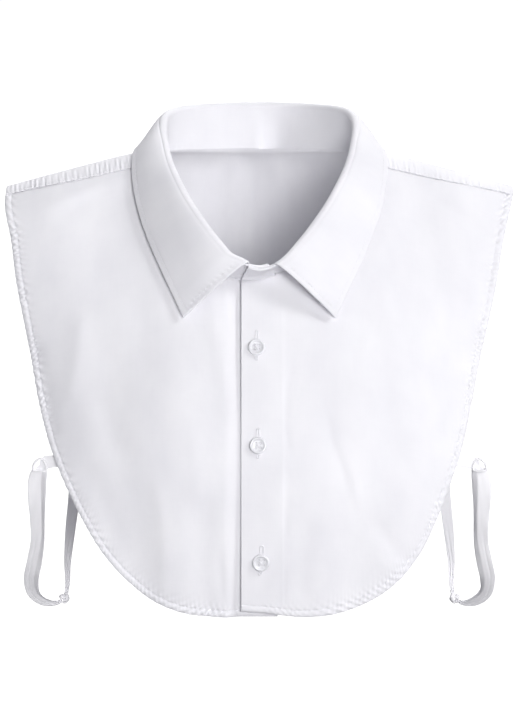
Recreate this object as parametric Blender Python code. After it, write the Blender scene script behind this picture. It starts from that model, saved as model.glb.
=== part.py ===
# Detachable shirt collar: a collar with a short front and back that sits on the shoulders.
# Lengths in the tables below are millimetres, and MM turns them into metres.
# +Z is up, the front faces -Y and +X is the wearer's left.
# The origin lies between the two side neck points, where neck and shoulders carry the cloth.

import math

import bmesh
import bpy
import numpy as np

MM = 0.001

# Cloth walls and seams
CLOTH_WALL = 1.2
HEM_WALL = 1.8
HEM_WIDTH = 5.0
HEM_STEP = 0.8
STAND_WALL = 2.0
FALL_WALL = 1.6
SEAM_GAP = 0.3

# The general figure under the cloth: half width that its sides round away to, and how squarely
SHOULDER_HALF = 222.0
CHEST_HALF = 190.0
CHEST_RUN = 190.0
FIGURE_SQUARENESS = 2.6
SHOULDER_START = 82.0
SHOULDER_SLOPE = 0.273
SHOULDER_SOFTNESS = 10.0

# The end of the shoulder is rounder from front to back than its middle
CAP_SHARE = 0.65
CAP_START = 90.0
CAP_FULL = 180.0
CAP_RUN = 100.0

# The neck pushes the cloth back between the shoulders
NECK_PUSH = 43.0
NECK_PUSH_HALF = 80.0
NECK_PUSH_POWER = 1.5
PUSH_RUN_BACK = 95.0
PUSH_RUN_FRONT = 14.0

# One section over the shoulder, from the back hem over the ridge to the front hem
SECTION = (
    # reach to the back (+) or front (-), drop below the ridge
    (98.0, 345.0),
    (102.0, 280.0),
    (104.0, 220.0),
    (98.0, 160.0),
    (82.0, 110.0),
    (63.0, 70.0),
    (49.0, 45.0),
    (35.0, 25.0),
    (24.0, 12.0),
    (13.0, 4.0),
    (0.0, 0.0),
    (-12.0, 4.0),
    (-20.0, 14.0),
    (-27.0, 30.0),
    (-40.0, 55.0),
    (-60.0, 91.0),
    (-84.0, 150.0),
    (-102.0, 220.0),
    (-105.0, 280.0),
    (-102.0, 345.0),
)

# Armhole and hem of one half, from below the shoulder tip round to the centre
OUTLINE = (
    # sideways, height
    (182.0, -36.0),
    (176.0, -64.0),
    (171.0, -95.0),
    (165.5, -120.0),
    (159.5, -147.0),
    (154.0, -175.0),
    (146.5, -205.0),
    (137.0, -230.5),
    (125.0, -257.0),
    (110.5, -282.5),
    (94.8, -300.2),
    (77.0, -313.0),
    (55.5, -321.3),
    (33.0, -324.2),
    (0.0, -324.8),
)
# How far the worn outline leans to the wearer's right
LEAN = (
    # height, lean
    (-330.0, -1.4),
    (-299.0, -2.2),
    (-257.0, 0.0),
    (-230.0, 1.6),
    (-175.0, 3.0),
    (-120.0, 2.4),
    (-64.0, 1.6),
    (-20.0, 0.3),
)
OUTLINE_LEAN_FULL = 60.0
SHOULDER_TIP = 182.5
SHOULDER_TIP_BACK_RUN = -8.0
SEAM_RUN_NECK = 16.0
SEAM_RUN_TIP = 13.0

# Half of the collar, one row for each station from centre front to centre back
COLLAR = (
    # neck seam: sideways, run over the shoulder; crest of the roll: x, y, z; leaf edge: x, y, z
    (0.0, 111.0, 0.0, -79.0, -79.0, 46.0, -82.0, -131.0),
    (16.0, 110.0, 14.0, -74.5, -73.5, 53.6, -75.0, -115.5),
    (33.0, 100.0, 26.0, -66.0, -61.0, 61.0, -67.5, -100.5),
    (45.0, 84.0, 37.0, -56.5, -47.5, 70.5, -61.5, -81.0),
    (54.5, 66.0, 47.0, -46.5, -33.5, 79.0, -53.0, -62.0),
    (61.0, 46.0, 55.5, -36.0, -19.0, 86.0, -42.0, -43.0),
    (65.0, 28.0, 61.5, -25.0, -6.5, 90.5, -28.5, -24.0),
    (67.5, 12.0, 65.2, -13.0, 5.5, 91.6, -14.5, -8.0),
    (68.5, 0.0, 67.2, -1.0, 16.0, 89.5, 2.0, -0.8),
    (67.0, -7.0, 65.5, 14.0, 25.5, 84.5, 20.0, -5.5),
    (57.0, -8.5, 56.5, 31.0, 30.0, 72.0, 39.0, -14.0),
    (33.0, -9.5, 32.5, 51.0, 31.5, 42.0, 59.5, -14.5),
    (0.0, -10.0, 0.0, 58.5, 32.0, 0.0, 71.0, -14.5),
)
SEAM_X, SEAM_RUN, ROLL_X, ROLL_Y, ROLL_Z, EDGE_X, EDGE_Y, EDGE_Z = range(8)
LAST_STATION = len(COLLAR) - 1
ROLL_RADIUS = 2.6
LEAF_CROWN = 1.3
# Stations where the two leaves start, and how far past the centre the ends of the stand reach
LEAF_START_RIGHT = 0.6
LEAF_START_LEFT = 0.73
STAND_LIFT = 0.5
STAND_END_LOW = 0.81
STAND_END_TOP = 0.54

# At the centre front the wearer's left laps over the right, which lies deeper
LAP_HALF = 12.9
LAP_START = 32.0
LAP_FULL = 15.0
LAP_NECK_RAISE = 3.0
LAP_STAND_DEPTH = 3.0
LAP_DEPTH = (
    # height, depth of the under layer
    (-330.0, 4.0),
    (-265.0, 2.4),
    (-200.0, 2.1),
    (-130.0, 2.6),
    (-60.0, 3.6),
)
UPPER_HEM_LIFT = 5.0
UPPER_HEM_LIFT_END = 30.0

# Largest soft folds of the fronts, as seen from the front
FOLDS = (
    # from x, from z, to x, to z, half width, height outward
    (-152.0, -42.0, -100.0, -18.0, 9.0, 1.6),
    (-62.0, -165.0, -52.0, -300.0, 17.0, 1.5),
    (-104.0, -150.0, -86.0, -290.0, 20.0, -2.2),
    (-42.0, -250.0, -36.0, -318.0, 11.0, -1.4),
    (116.0, -42.0, 156.0, -84.0, 15.0, -1.5),
    (40.0, -150.0, 58.0, -215.0, 16.0, -1.2),
    (92.0, -205.0, 62.0, -300.0, 20.0, -1.8),
    (128.0, -120.0, 104.0, -240.0, 18.0, 1.4),
)

# The folds fade out toward the shoulder seam, over these runs
FOLD_FADE_START = 12.0
FOLD_FADE_END = 40.0

# Buttons on the placket
BUTTON_PROFILE = (
    # radius, height above the back of the button
    (0.0, 1.35),
    (3.6, 1.45),
    (4.3, 2.2),
    (4.9, 2.4),
    (5.55, 2.1),
    (5.75, 1.5),
    (5.2, 0.35),
    (3.6, 0.0),
    (0.0, 0.0),
)
BUTTON_HOLE_RADIUS = 0.75
BUTTON_HOLE_OFFSET = 1.15
BUTTON_SIDES = 24
BUTTON_HOLE_SIDES = 8
BUTTON_CUT_DEPTHS = (-1.0, 3.5)
BUTTONS = (
    # sideways, height
    (-2.0, -136.0),
    (-1.0, -203.0),
    (1.0, -285.0),
)

# Side tape, sewn under the front's side edge, down to the knot and up under the back's edge
TAPE_WIDTH = 10.0
TAPE_WALL = 1.0
TAPE_STEPS = 64
TAPE_LIE_GAP = 0.35
TAPE_ROUTE = (
    # x, y, z, share of the full width
    (154.8, -71.0, -220.5, 0.9),
    (157.4, -70.0, -230.0, 1.0),
    (157.9, -67.5, -243.0, 1.0),
    (157.6, -62.0, -259.0, 1.0),
    (158.2, -54.5, -276.0, 1.0),
    (161.6, -44.0, -293.5, 1.0),
    (164.6, -34.0, -308.0, 0.95),
    (163.0, -22.5, -320.5, 0.8),
    (155.0, -11.0, -328.5, 0.45),
    (147.4, -3.4, -330.6, 0.24),
    (142.4, 2.4, -328.0, 0.2),
    (140.8, 8.0, -321.0, 0.25),
    (140.9, 18.5, -304.5, 0.45),
    (139.6, 33.0, -284.0, 0.7),
    (137.6, 49.0, -262.0, 0.8),
    (136.4, 61.0, -241.0, 0.8),
)
# The sewn ends of the tape, inside the two panels
TAPE_FRONT_END = (
    # sideways, height, share of the full width, clear of the panel
    (134.0, -215.0, 0.8, 0.0),
    (143.5, -216.5, 0.8, 1.0),
)
TAPE_BACK_END = (
    # sideways, height, share of the full width, clear of the panel
    (134.5, -223.0, 0.8, 2.4),
    (131.5, -211.0, 0.8, 0.3),
    (129.5, -201.0, 0.8, 0.1),
)
KNOT_STATION = 12
KNOT_PROFILE = (
    # radius, place along the tape
    (2.0, -1.8),
    (2.8, -2.4),
    (3.6, -1.2),
    (3.2, 0.0),
    (3.7, 1.1),
    (2.7, 2.3),
    (2.0, 1.8),
)
KNOT_SIDES = 12

# Grid counts: columns run along the hem, rows run away from the neck
FRONT_COLUMNS = 24
BACK_COLUMNS = 24
PANEL_ROWS = 13
FRONT_CROWDING = 1.3
BACK_CROWDING = 1.3
STAND_END_COLUMNS = 4
STAND_ROWS = 5
FALL_COLUMNS = 61
FALL_ROLL_ROWS = 4
FALL_RUN_ROWS = 6
CURVE_SAMPLES = 1200
SMOOTH_ANGLE = 40.0

# Places round the collar between which the neck edge of a front and of the back is found
FRONT_NECK_PLACES = (13.0, 3.0)
BACK_NECK_PLACES = (0.0, 9.0)

# Finishes: colour, roughness
FINISHES = {
    "poplin": ((0.86, 0.87, 0.91), 0.78),
    "collar_cloth": ((0.88, 0.89, 0.93), 0.74),
    "tape_cloth": ((0.85, 0.86, 0.91), 0.6),
    "button_resin": ((0.86, 0.86, 0.89), 0.28),
}


def clear_scene():
    for thing in list(bpy.data.objects):
        bpy.data.objects.remove(thing, do_unlink=True)


def make_material(name):
    colour, roughness = FINISHES[name]
    material = bpy.data.materials.new(name)
    material.use_nodes = True
    shader = material.node_tree.nodes["Principled BSDF"]
    shader.inputs["Base Color"].default_value = (*colour, 1.0)
    shader.inputs["Roughness"].default_value = roughness
    shader.inputs["Metallic"].default_value = 0.0
    return material


# Smooth curve through rows of values, each slope weighed by its two neighbouring steps
def spline(knots, values, at):
    knots = np.asarray(knots, float)
    values = np.asarray(values, float)
    steps = np.diff(knots)
    rises = np.diff(values) / steps
    slopes = np.empty_like(values)
    slopes[1:-1] = (rises[:-1] * steps[1:] + rises[1:] * steps[:-1]) / (steps[:-1] + steps[1:])
    slopes[0] = rises[0]
    slopes[-1] = rises[-1]
    at = np.clip(np.asarray(at, float), knots[0], knots[-1])
    cell = np.clip(np.searchsorted(knots, at, side="right") - 1, 0, len(steps) - 1)
    step = steps[cell]
    t = (at - knots[cell]) / step
    low = values[cell] * (1 + 2 * t) + slopes[cell] * step * t
    high = values[cell + 1] * (3 - 2 * t) - slopes[cell + 1] * step * (1 - t)
    return low * (1 - t) ** 2 + high * t**2


def smooth_step(value, start, end):
    t = np.clip((value - start) / (end - start), 0.0, 1.0)
    return t * t * (3 - 2 * t)


def unit(vectors):
    return vectors / np.linalg.norm(vectors, axis=-1, keepdims=True)


def lengths_along(points):
    steps = np.linalg.norm(np.diff(points, axis=0), axis=1)
    return np.concatenate([[0.0], np.cumsum(steps)])


# Runs along the section: negative down the back, positive down the front
SECTION_TABLE = np.array(SECTION)
SECTION_LENGTHS = lengths_along(SECTION_TABLE)
SECTION_RUN = SECTION_LENGTHS - SECTION_LENGTHS[int(np.argmin(SECTION_TABLE[:, 1]))]
DENSE_RUN = np.linspace(SECTION_RUN[0], SECTION_RUN[-1], CURVE_SAMPLES)
DENSE_DROP = spline(SECTION_RUN, SECTION_TABLE[:, 1], DENSE_RUN)


# Height of the shoulder ridge: level near the neck, then falling evenly
def ridge(x):
    bend = np.logaddexp(0.0, (np.abs(x) - SHOULDER_START) / SHOULDER_SOFTNESS)
    return -SHOULDER_SLOPE * SHOULDER_SOFTNESS * bend


# Outer face of the cloth at sideways place x and run over the shoulder
def figure(x, run):
    x = np.asarray(x, float)
    run = np.asarray(run, float)
    reach = spline(SECTION_RUN, SECTION_TABLE[:, 0], run)
    drop = spline(SECTION_RUN, SECTION_TABLE[:, 1], run)
    half = SHOULDER_HALF + (CHEST_HALF - SHOULDER_HALF) * smooth_step(np.abs(run), 0.0, CHEST_RUN)
    side = (1.0 - np.abs(x / half) ** FIGURE_SQUARENESS) ** (1.0 / FIGURE_SQUARENESS)
    cap = CAP_SHARE * smooth_step(np.abs(x), CAP_START, CAP_FULL) * np.exp(-((run / CAP_RUN) ** 2))
    push = NECK_PUSH * np.clip(1.0 - (x / NECK_PUSH_HALF) ** 2, 0.0, None) ** NECK_PUSH_POWER
    push_run = np.where(run < 0.0, PUSH_RUN_BACK, PUSH_RUN_FRONT)
    y = reach * side * (1.0 + cap) + push * np.exp(-((run / push_run) ** 2))
    return np.stack(np.broadcast_arrays(x, y, ridge(x) - drop), axis=-1)


# Run over the shoulder where the cloth at x has height z, on the front or the back
def run_at(x, z, front):
    keep = DENSE_RUN >= 0.0 if front else DENSE_RUN <= 0.0
    order = np.argsort(DENSE_DROP[keep])
    return np.interp(ridge(x) - z, DENSE_DROP[keep][order], DENSE_RUN[keep][order])


def outward(x, run):
    step = 0.5
    across = figure(x + step, run) - figure(x - step, run)
    along = figure(x, run + step) - figure(x, run - step)
    return unit(np.cross(along, across))


# Soft ridges and troughs along straight fold lines
def fold_height(x, z):
    total = np.zeros_like(x)
    for from_x, from_z, to_x, to_z, half_width, height in FOLDS:
        run_x = to_x - from_x
        run_z = to_z - from_z
        length = math.hypot(run_x, run_z)
        along = ((x - from_x) * run_x + (z - from_z) * run_z) / length
        aside = ((x - from_x) * run_z - (z - from_z) * run_x) / length
        beyond = np.maximum(np.maximum(-along, along - length), 0.0)
        total += height * np.exp(-(aside**2 + beyond**2) / half_width**2)
    return total


# One column of the collar table, carried past both centre lines so that it stays smooth there
def collar_column(column, station):
    table = np.array(COLLAR)[:, column]
    sign = -1.0 if column in (SEAM_X, ROLL_X) else 1.0
    edge_front = 2.0 * table[0] - table[1]
    before = edge_front if column in (EDGE_X, EDGE_Y, EDGE_Z) else sign * table[1]
    after = -table[-2] if column in (SEAM_X, ROLL_X, EDGE_X) else table[-2]
    values = np.concatenate([[before], table, [after]])
    knots = np.arange(-1.0, LAST_STATION + 2.0)
    return spline(knots, values, station)


# Collar values at q, which runs from -LAST_STATION at the front on the wearer's right,
# through 0 at the centre back, to LAST_STATION at the front on the wearer's left
def collar_at(columns, q):
    side = np.where(q < 0.0, -1.0, 1.0)
    station = LAST_STATION - np.abs(q)
    first = collar_column(columns[0], station) * side
    return [first, *(collar_column(column, station) for column in columns[1:])]


# Share of the way that the wearer's right side has slipped under, near the centre front
def lap_share(x):
    return smooth_step(x, -LAP_START, -LAP_FULL)


def lap_depth(z):
    table = np.array(LAP_DEPTH)
    return spline(table[:, 0], table[:, 1], z)


# Neck seam, where under says how much each point belongs to the layer beneath
def neck_seam(q, under):
    x, run = collar_at((SEAM_X, SEAM_RUN), q)
    run = run - LAP_NECK_RAISE * under
    point = figure(x, run)
    depth = lap_depth(point[..., 2]) * under
    return point - outward(x, run) * depth[..., None]


# Crest of the roll and the direction in which the stand rises to it
def roll_crest(q, under):
    point = np.stack(collar_at((ROLL_X, ROLL_Y, ROLL_Z), q), axis=-1)
    rise = unit(point - neck_seam(q, np.zeros_like(q)))
    inward = unit(np.cross(np.gradient(point, axis=0), rise))
    point = point + inward * (LAP_STAND_DEPTH * under)[..., None]
    return point, rise


# The layer beneath is the wearer's right end, from where it slips under to its tip
def under_share(q):
    x = collar_at((SEAM_X, SEAM_RUN), q)[0]
    return np.where(q < -LAST_STATION / 2, lap_share(x), 0.0)


def grid_normals(grid):
    across = np.gradient(grid, axis=0)
    along = np.gradient(grid, axis=1)
    return unit(np.cross(across, along))


# Closed wall between two grids of points
def closed_wall(name, outer, inner, material):
    columns, rows = outer.shape[:2]
    count = columns * rows
    index = np.arange(count).reshape(columns, rows)
    cells = np.stack([index[:-1, :-1], index[1:, :-1], index[1:, 1:], index[:-1, 1:]], axis=-1)
    outer_faces = cells.reshape(-1, 4)
    inner_faces = outer_faces[:, ::-1] + count
    rim = np.concatenate([index[:, 0], index[-1, 1:], index[-2::-1, -1], index[0, -2:0:-1]])
    next_rim = np.roll(rim, -1)
    rim_faces = np.stack([next_rim, rim, rim + count, next_rim + count], axis=-1)
    vertices = np.concatenate([outer.reshape(-1, 3), inner.reshape(-1, 3)])
    faces = np.concatenate([outer_faces, inner_faces, rim_faces])
    return add_solid(name, vertices, faces.tolist(), material)


def add_solid(name, vertices, faces, material):
    mesh = bpy.data.meshes.new(name)
    mesh.from_pydata((np.asarray(vertices) * MM).tolist(), [], faces)
    shaped = bmesh.new()
    shaped.from_mesh(mesh)
    bmesh.ops.recalc_face_normals(shaped, faces=shaped.faces)
    shaped.to_mesh(mesh)
    shaped.free()
    mesh.materials.append(material)
    return place_mesh(name, mesh)


def place_mesh(name, mesh):
    mesh.shade_smooth()
    mesh.set_sharp_from_angle(angle=math.radians(SMOOTH_ANGLE))
    thing = bpy.data.objects.new(name, mesh)
    bpy.context.scene.collection.objects.link(thing)
    return thing


# Points along a curve, crowded toward its end
def crowded(points, count, crowding):
    lengths = lengths_along(points)
    shares = 1.0 - (1.0 - np.linspace(0.0, 1.0, count)) ** crowding
    at = shares * lengths[-1]
    return np.stack([np.interp(at, lengths, column) for column in points.T], axis=-1)


# Neck edge of a front or of half the back in (x, run), from the centre to the shoulder seam
def neck_chart(front, under):
    ends = FRONT_NECK_PLACES if front else BACK_NECK_PLACES
    x, run = collar_at((SEAM_X, SEAM_RUN), np.linspace(*ends, CURVE_SAMPLES))
    if front:
        share = smooth_step(-x, -LAP_START, -LAP_FULL) if under else np.zeros_like(x)
        keep = (x > -LAP_HALF) & (run > SEAM_RUN_NECK + SEAM_GAP / 2)
        run = run - LAP_NECK_RAISE * share
    else:
        keep = run < SEAM_RUN_NECK - SEAM_GAP / 2
    return np.stack([x, run], axis=-1)[keep]


# Armhole and hem of one side in (x, run), from the centre to the shoulder tip
def outline_chart(front, side, lift):
    rows = np.array(OUTLINE)[::-1]
    lean = np.array(LEAN)
    away = smooth_step(rows[:, 0], 0.0, OUTLINE_LEAN_FULL)
    rows[:, 0] -= side * away * spline(lean[:, 0], lean[:, 1], rows[:, 1])
    if front:
        rows = np.concatenate([[(-LAP_HALF, rows[0, 1])], rows])
    lifted = lift * (1.0 - smooth_step(rows[:, 0], -LAP_HALF, UPPER_HEM_LIFT_END))
    runs = run_at(rows[:, 0], rows[:, 1] + lifted, front)
    half_gap = SEAM_GAP / 2 if front else -SEAM_GAP / 2
    chart = np.stack([rows[:, 0], runs], axis=-1)
    if not front:
        chart = np.concatenate([chart, [(SHOULDER_TIP, SHOULDER_TIP_BACK_RUN)]])
    chart = np.concatenate([chart, [(SHOULDER_TIP, SEAM_RUN_TIP + half_gap)]])
    knots = lengths_along(chart)
    at = np.linspace(0.0, knots[-1], CURVE_SAMPLES)
    return np.stack([spline(knots, chart[:, 0], at), spline(knots, chart[:, 1], at)], axis=-1)


# Straight lines from the neck to the outline in (x, run), with a narrow last row for the hem
def chart_patch(neck, outline):
    straight = np.linalg.norm(outline - neck, axis=1)[:, None]
    hem = 1.0 - HEM_WIDTH / straight
    before_hem = hem - HEM_STEP / straight
    inside = np.linspace(0.0, 1.0, PANEL_ROWS)[None, :] * before_hem
    shares = np.concatenate([inside, hem, np.ones_like(hem)], axis=1)
    return neck[:, None, :] + (outline - neck)[:, None, :] * shares[..., None]


# Wall of a panel whose outer face lies raised by height over the figure
def panel_wall(name, chart, height, side, material):
    face = figure(chart[..., 0], chart[..., 1])
    normal = outward(chart[..., 0], chart[..., 1])
    wall = np.full(height.shape, CLOTH_WALL)
    wall[:, -2:] = HEM_WALL
    mirror = np.array([side, 1.0, 1.0])
    outer = (face + normal * (height + (wall - CLOTH_WALL) / 2)[..., None]) * mirror
    inner = (face + normal * (height - (wall + CLOTH_WALL) / 2)[..., None]) * mirror
    return closed_wall(name, outer, inner, material)


# A front on one side: the wearer's left has side 1 and laps over the right
def make_front(name, side, material):
    under = side < 0
    neck = crowded(neck_chart(True, under), FRONT_COLUMNS, 1.0)
    lift = 0.0 if under else UPPER_HEM_LIFT
    outline = crowded(outline_chart(True, side, lift), FRONT_COLUMNS, FRONT_CROWDING)
    chart = chart_patch(neck, outline)
    x = chart[..., 0]
    z = figure(x, chart[..., 1])[..., 2]
    share = smooth_step(-x, -LAP_START, -LAP_FULL)
    fade = smooth_step(chart[..., 1], FOLD_FADE_START, FOLD_FADE_END)
    folds = fold_height(x * side, z) * fade * (1.0 - share)
    sunk = lap_depth(z) * share if under else 0.0
    return panel_wall(name, chart, folds - sunk, side, material)


def make_back(material):
    neck = crowded(neck_chart(False, False), BACK_COLUMNS, 1.0)
    left, right = (crowded(outline_chart(False, side, 0.0), BACK_COLUMNS, BACK_CROWDING) for side in (1, -1))
    mirror = np.array([-1.0, 1.0])
    chart = np.concatenate([chart_patch(neck, right)[:0:-1] * mirror, chart_patch(neck, left)])
    return panel_wall("back", chart, np.zeros(chart.shape[:2]), 1.0, material)


# Places round the collar where the fall has its columns
def fall_places():
    share = np.linspace(-1.0, 1.0, FALL_COLUMNS)
    start = np.where(share < 0.0, LEAF_START_RIGHT, LEAF_START_LEFT)
    return share * (LAST_STATION - start)


# The stand rises from the neck seam to just below the roll, with its columns under the fall's
def make_stand(material):
    grid = []
    middle = fall_places()
    for share in np.linspace(0.0, 1.0, STAND_ROWS):
        end = LAST_STATION + STAND_END_LOW + (STAND_END_TOP - STAND_END_LOW) * share
        right_end = np.linspace(-end, middle[0], STAND_END_COLUMNS, endpoint=False)
        left_end = np.linspace(end, middle[-1], STAND_END_COLUMNS, endpoint=False)[::-1]
        q = np.concatenate([right_end, middle, left_end])
        under = under_share(q)
        seam = neck_seam(q, under)
        crest, rise = roll_crest(q, under)
        low = seam + rise * STAND_LIFT
        top = crest - rise * (ROLL_RADIUS + FALL_WALL / 2 + SEAM_GAP)
        grid.append(low + (top - low) * share)
    grid = np.stack(grid, axis=1)
    half_wall = grid_normals(grid) * STAND_WALL / 2
    return closed_wall("collar_stand", grid + half_wall, grid - half_wall, material)


# The fall leaves the stand, turns over in a round roll and runs straight out to its edge
def make_fall(material):
    share = np.linspace(-1.0, 1.0, FALL_COLUMNS)
    q = fall_places()
    under = under_share(q)
    crest, rise = roll_crest(q, under)
    foot = crest - rise * (ROLL_RADIUS + FALL_WALL / 2)
    edge = np.stack(collar_at((EDGE_X, EDGE_Y, EDGE_Z), share * (LAST_STATION - 1.0)), axis=-1)
    reach = edge - foot
    up = np.sum(reach * rise, axis=1)
    sideways = reach - rise * up[:, None]
    out = np.linalg.norm(sideways, axis=1)
    sideways = sideways / out[:, None]
    centre_distance = np.hypot(out - ROLL_RADIUS, up)
    straight = np.sqrt(centre_distance**2 - ROLL_RADIUS**2)
    turn = np.arctan2(out - ROLL_RADIUS, up) + np.arctan2(ROLL_RADIUS, straight)
    rows = []
    for part in np.linspace(0.0, 1.0, FALL_ROLL_ROWS, endpoint=False):
        angle = (turn * part)[:, None]
        rows.append(foot + ROLL_RADIUS * (np.sin(angle) * rise + (1.0 - np.cos(angle)) * sideways))
    angle = turn[:, None]
    leave = foot + ROLL_RADIUS * (np.sin(angle) * rise + (1.0 - np.cos(angle)) * sideways)
    outside = np.sin(angle) * rise - np.cos(angle) * sideways
    for part in np.linspace(0.0, 1.0, FALL_RUN_ROWS + 1):
        rows.append(leave + (edge - leave) * part + outside * LEAF_CROWN * math.sin(math.pi * part))
    grid = np.stack(rows, axis=1)
    normals = grid_normals(grid)
    normals[:, 0] = unit(np.cross(np.gradient(grid[:, 0], axis=0), rise))
    half_wall = normals * FALL_WALL / 2
    return closed_wall("collar_fall", grid + half_wall, grid - half_wall, material)


# A turned profile around the z axis; a profile that starts and ends off the axis closes on itself
def turned_faces(rows, sides, closed):
    index = np.arange(rows * sides).reshape(rows, sides)
    following = np.roll(index, -1, axis=1)
    if closed:
        index = np.concatenate([index, index[:1]])
        following = np.concatenate([following, following[:1]])
    return np.stack([index[:-1], index[1:], following[1:], following[:-1]], axis=-1).reshape(-1, 4)


def turned_points(profile, sides):
    angle = np.linspace(0.0, 2.0 * math.pi, sides, endpoint=False)
    radius = np.array(profile)[:, :1]
    height = np.array(profile)[:, 1:]
    level = np.broadcast_to(height, (len(profile), sides))
    return np.stack([radius * np.cos(angle), radius * np.sin(angle), level], axis=-1)


# One button, with its four holes cut through
def make_button_mesh(material):
    middle = BUTTON_PROFILE[1:-1]
    points = turned_points(middle, BUTTON_SIDES).reshape(-1, 3)
    front = len(points)
    points = np.concatenate([points, [(0.0, 0.0, BUTTON_PROFILE[0][1]), (0.0, 0.0, 0.0)]])
    faces = turned_faces(len(middle), BUTTON_SIDES, False).tolist()
    last = (len(middle) - 1) * BUTTON_SIDES
    for side in range(BUTTON_SIDES):
        following = (side + 1) % BUTTON_SIDES
        faces.append([front, side, following])
        faces.append([front + 1, last + following, last + side])
    blank = add_solid("button_blank", points, faces, material)
    cutter = make_hole_cutter(material)
    cut = blank.modifiers.new("holes", "BOOLEAN")
    cut.operation = "DIFFERENCE"
    cut.object = cutter
    bpy.context.view_layer.update()
    graph = bpy.context.evaluated_depsgraph_get()
    mesh = bpy.data.meshes.new_from_object(blank.evaluated_get(graph))
    bpy.data.objects.remove(blank, do_unlink=True)
    bpy.data.objects.remove(cutter, do_unlink=True)
    return mesh


def make_hole_cutter(material):
    post = [(BUTTON_HOLE_RADIUS, depth) for depth in BUTTON_CUT_DEPTHS]
    points = []
    faces = []
    for across in (-1, 1):
        for along in (-1, 1):
            first = len(points) * BUTTON_HOLE_SIDES * 2
            shift = np.array([across * BUTTON_HOLE_OFFSET, along * BUTTON_HOLE_OFFSET, 0.0])
            points.append(turned_points(post, BUTTON_HOLE_SIDES).reshape(-1, 3) + shift)
            faces += (turned_faces(2, BUTTON_HOLE_SIDES, False) + first).tolist()
            faces.append([first + side for side in reversed(range(BUTTON_HOLE_SIDES))])
            faces.append([first + BUTTON_HOLE_SIDES + side for side in range(BUTTON_HOLE_SIDES)])
    cutter = add_solid("button_hole_cutter", np.concatenate(points), faces, material)
    cutter.hide_render = True
    cutter.display_type = "WIRE"
    return cutter


# Turns the z axis to a normal and keeps the x axis level
def facing_matrix(normal):
    forward = unit(np.asarray(normal, float))
    level = unit(np.cross([0.0, 0.0, 1.0], forward))
    return np.stack([level, np.cross(forward, level), forward], axis=-1)


def make_buttons(material):
    mesh = make_button_mesh(material)
    for number, (x, z) in enumerate(BUTTONS, start=1):
        run = run_at(x, z, True)
        normal = outward(x, run)
        button = place_mesh(f"button_{number}", mesh)
        button.location = (figure(x, run) + normal * SEAM_GAP) * MM
        button.rotation_euler = matrix_to_euler(facing_matrix(normal))


def matrix_to_euler(turn):
    tilt = math.asin(-turn[2, 0])
    return (math.atan2(turn[2, 1], turn[2, 2]), tilt, math.atan2(turn[1, 0], turn[0, 0]))


# One row of the tape's table where it lies on the inside of a panel
def behind_panel(row, front):
    x, z, share, clear = row
    run = run_at(x, z, front)
    normal = outward(x, run)
    depth = (HEM_WALL + CLOTH_WALL) / 2 + TAPE_LIE_GAP + TAPE_WALL / 2 + clear
    facing = normal if front else -normal
    return (*(figure(x, run) - normal * depth), share, *facing)


# Rows of x, y, z, width share and the direction that the tape faces
def tape_table():
    rows = [behind_panel(row, True) for row in TAPE_FRONT_END]
    rows += [(*row, 0.0, -1.0, 0.0) for row in TAPE_ROUTE]
    rows += [behind_panel(row, False) for row in TAPE_BACK_END]
    return np.array(rows)


# Tape for one side with the knot that gathers it
def make_tape(label, side, tape_material):
    table = tape_table()
    knots = lengths_along(table[:, :3])
    at = np.linspace(0.0, knots[-1], TAPE_STEPS)
    middle = np.stack([spline(knots, table[:, axis], at) for axis in range(3)], axis=-1)
    width = TAPE_WIDTH * spline(knots, table[:, 3], at)
    tangent = unit(np.gradient(middle, axis=0))
    facing = np.stack([spline(knots, table[:, axis], at) for axis in range(4, 7)], axis=-1)
    across = unit(np.cross(tangent, facing))
    through = unit(np.cross(across, tangent))
    half_across = across * (width / 2)[:, None]
    half_wall = through * TAPE_WALL / 2
    mirror = np.array([side, 1.0, 1.0])
    flat = np.stack([middle - half_across, middle + half_across], axis=1)
    outer = (flat + half_wall[:, None, :]) * mirror
    inner = (flat - half_wall[:, None, :]) * mirror
    closed_wall(f"tape_{label}", outer, inner, tape_material)
    place = np.array([spline(knots, table[:, axis], knots[KNOT_STATION]) for axis in range(3)])
    nearest = int(np.argmin(np.abs(at - knots[KNOT_STATION])))
    turned = turned_points(KNOT_PROFILE, KNOT_SIDES).reshape(-1, 3)
    knot = (turned @ facing_matrix(tangent[nearest]).T + place) * mirror
    faces = turned_faces(len(KNOT_PROFILE), KNOT_SIDES, True).tolist()
    add_solid(f"knot_{label}", knot, faces, tape_material)


def main():
    clear_scene()
    materials = {name: make_material(name) for name in FINISHES}
    make_back(materials["poplin"])
    make_front("front_left", 1.0, materials["poplin"])
    make_front("front_right", -1.0, materials["poplin"])
    make_stand(materials["collar_cloth"])
    make_fall(materials["collar_cloth"])
    make_buttons(materials["button_resin"])
    make_tape("left", 1.0, materials["tape_cloth"])
    make_tape("right", -1.0, materials["tape_cloth"])


main()
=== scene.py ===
import math

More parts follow.
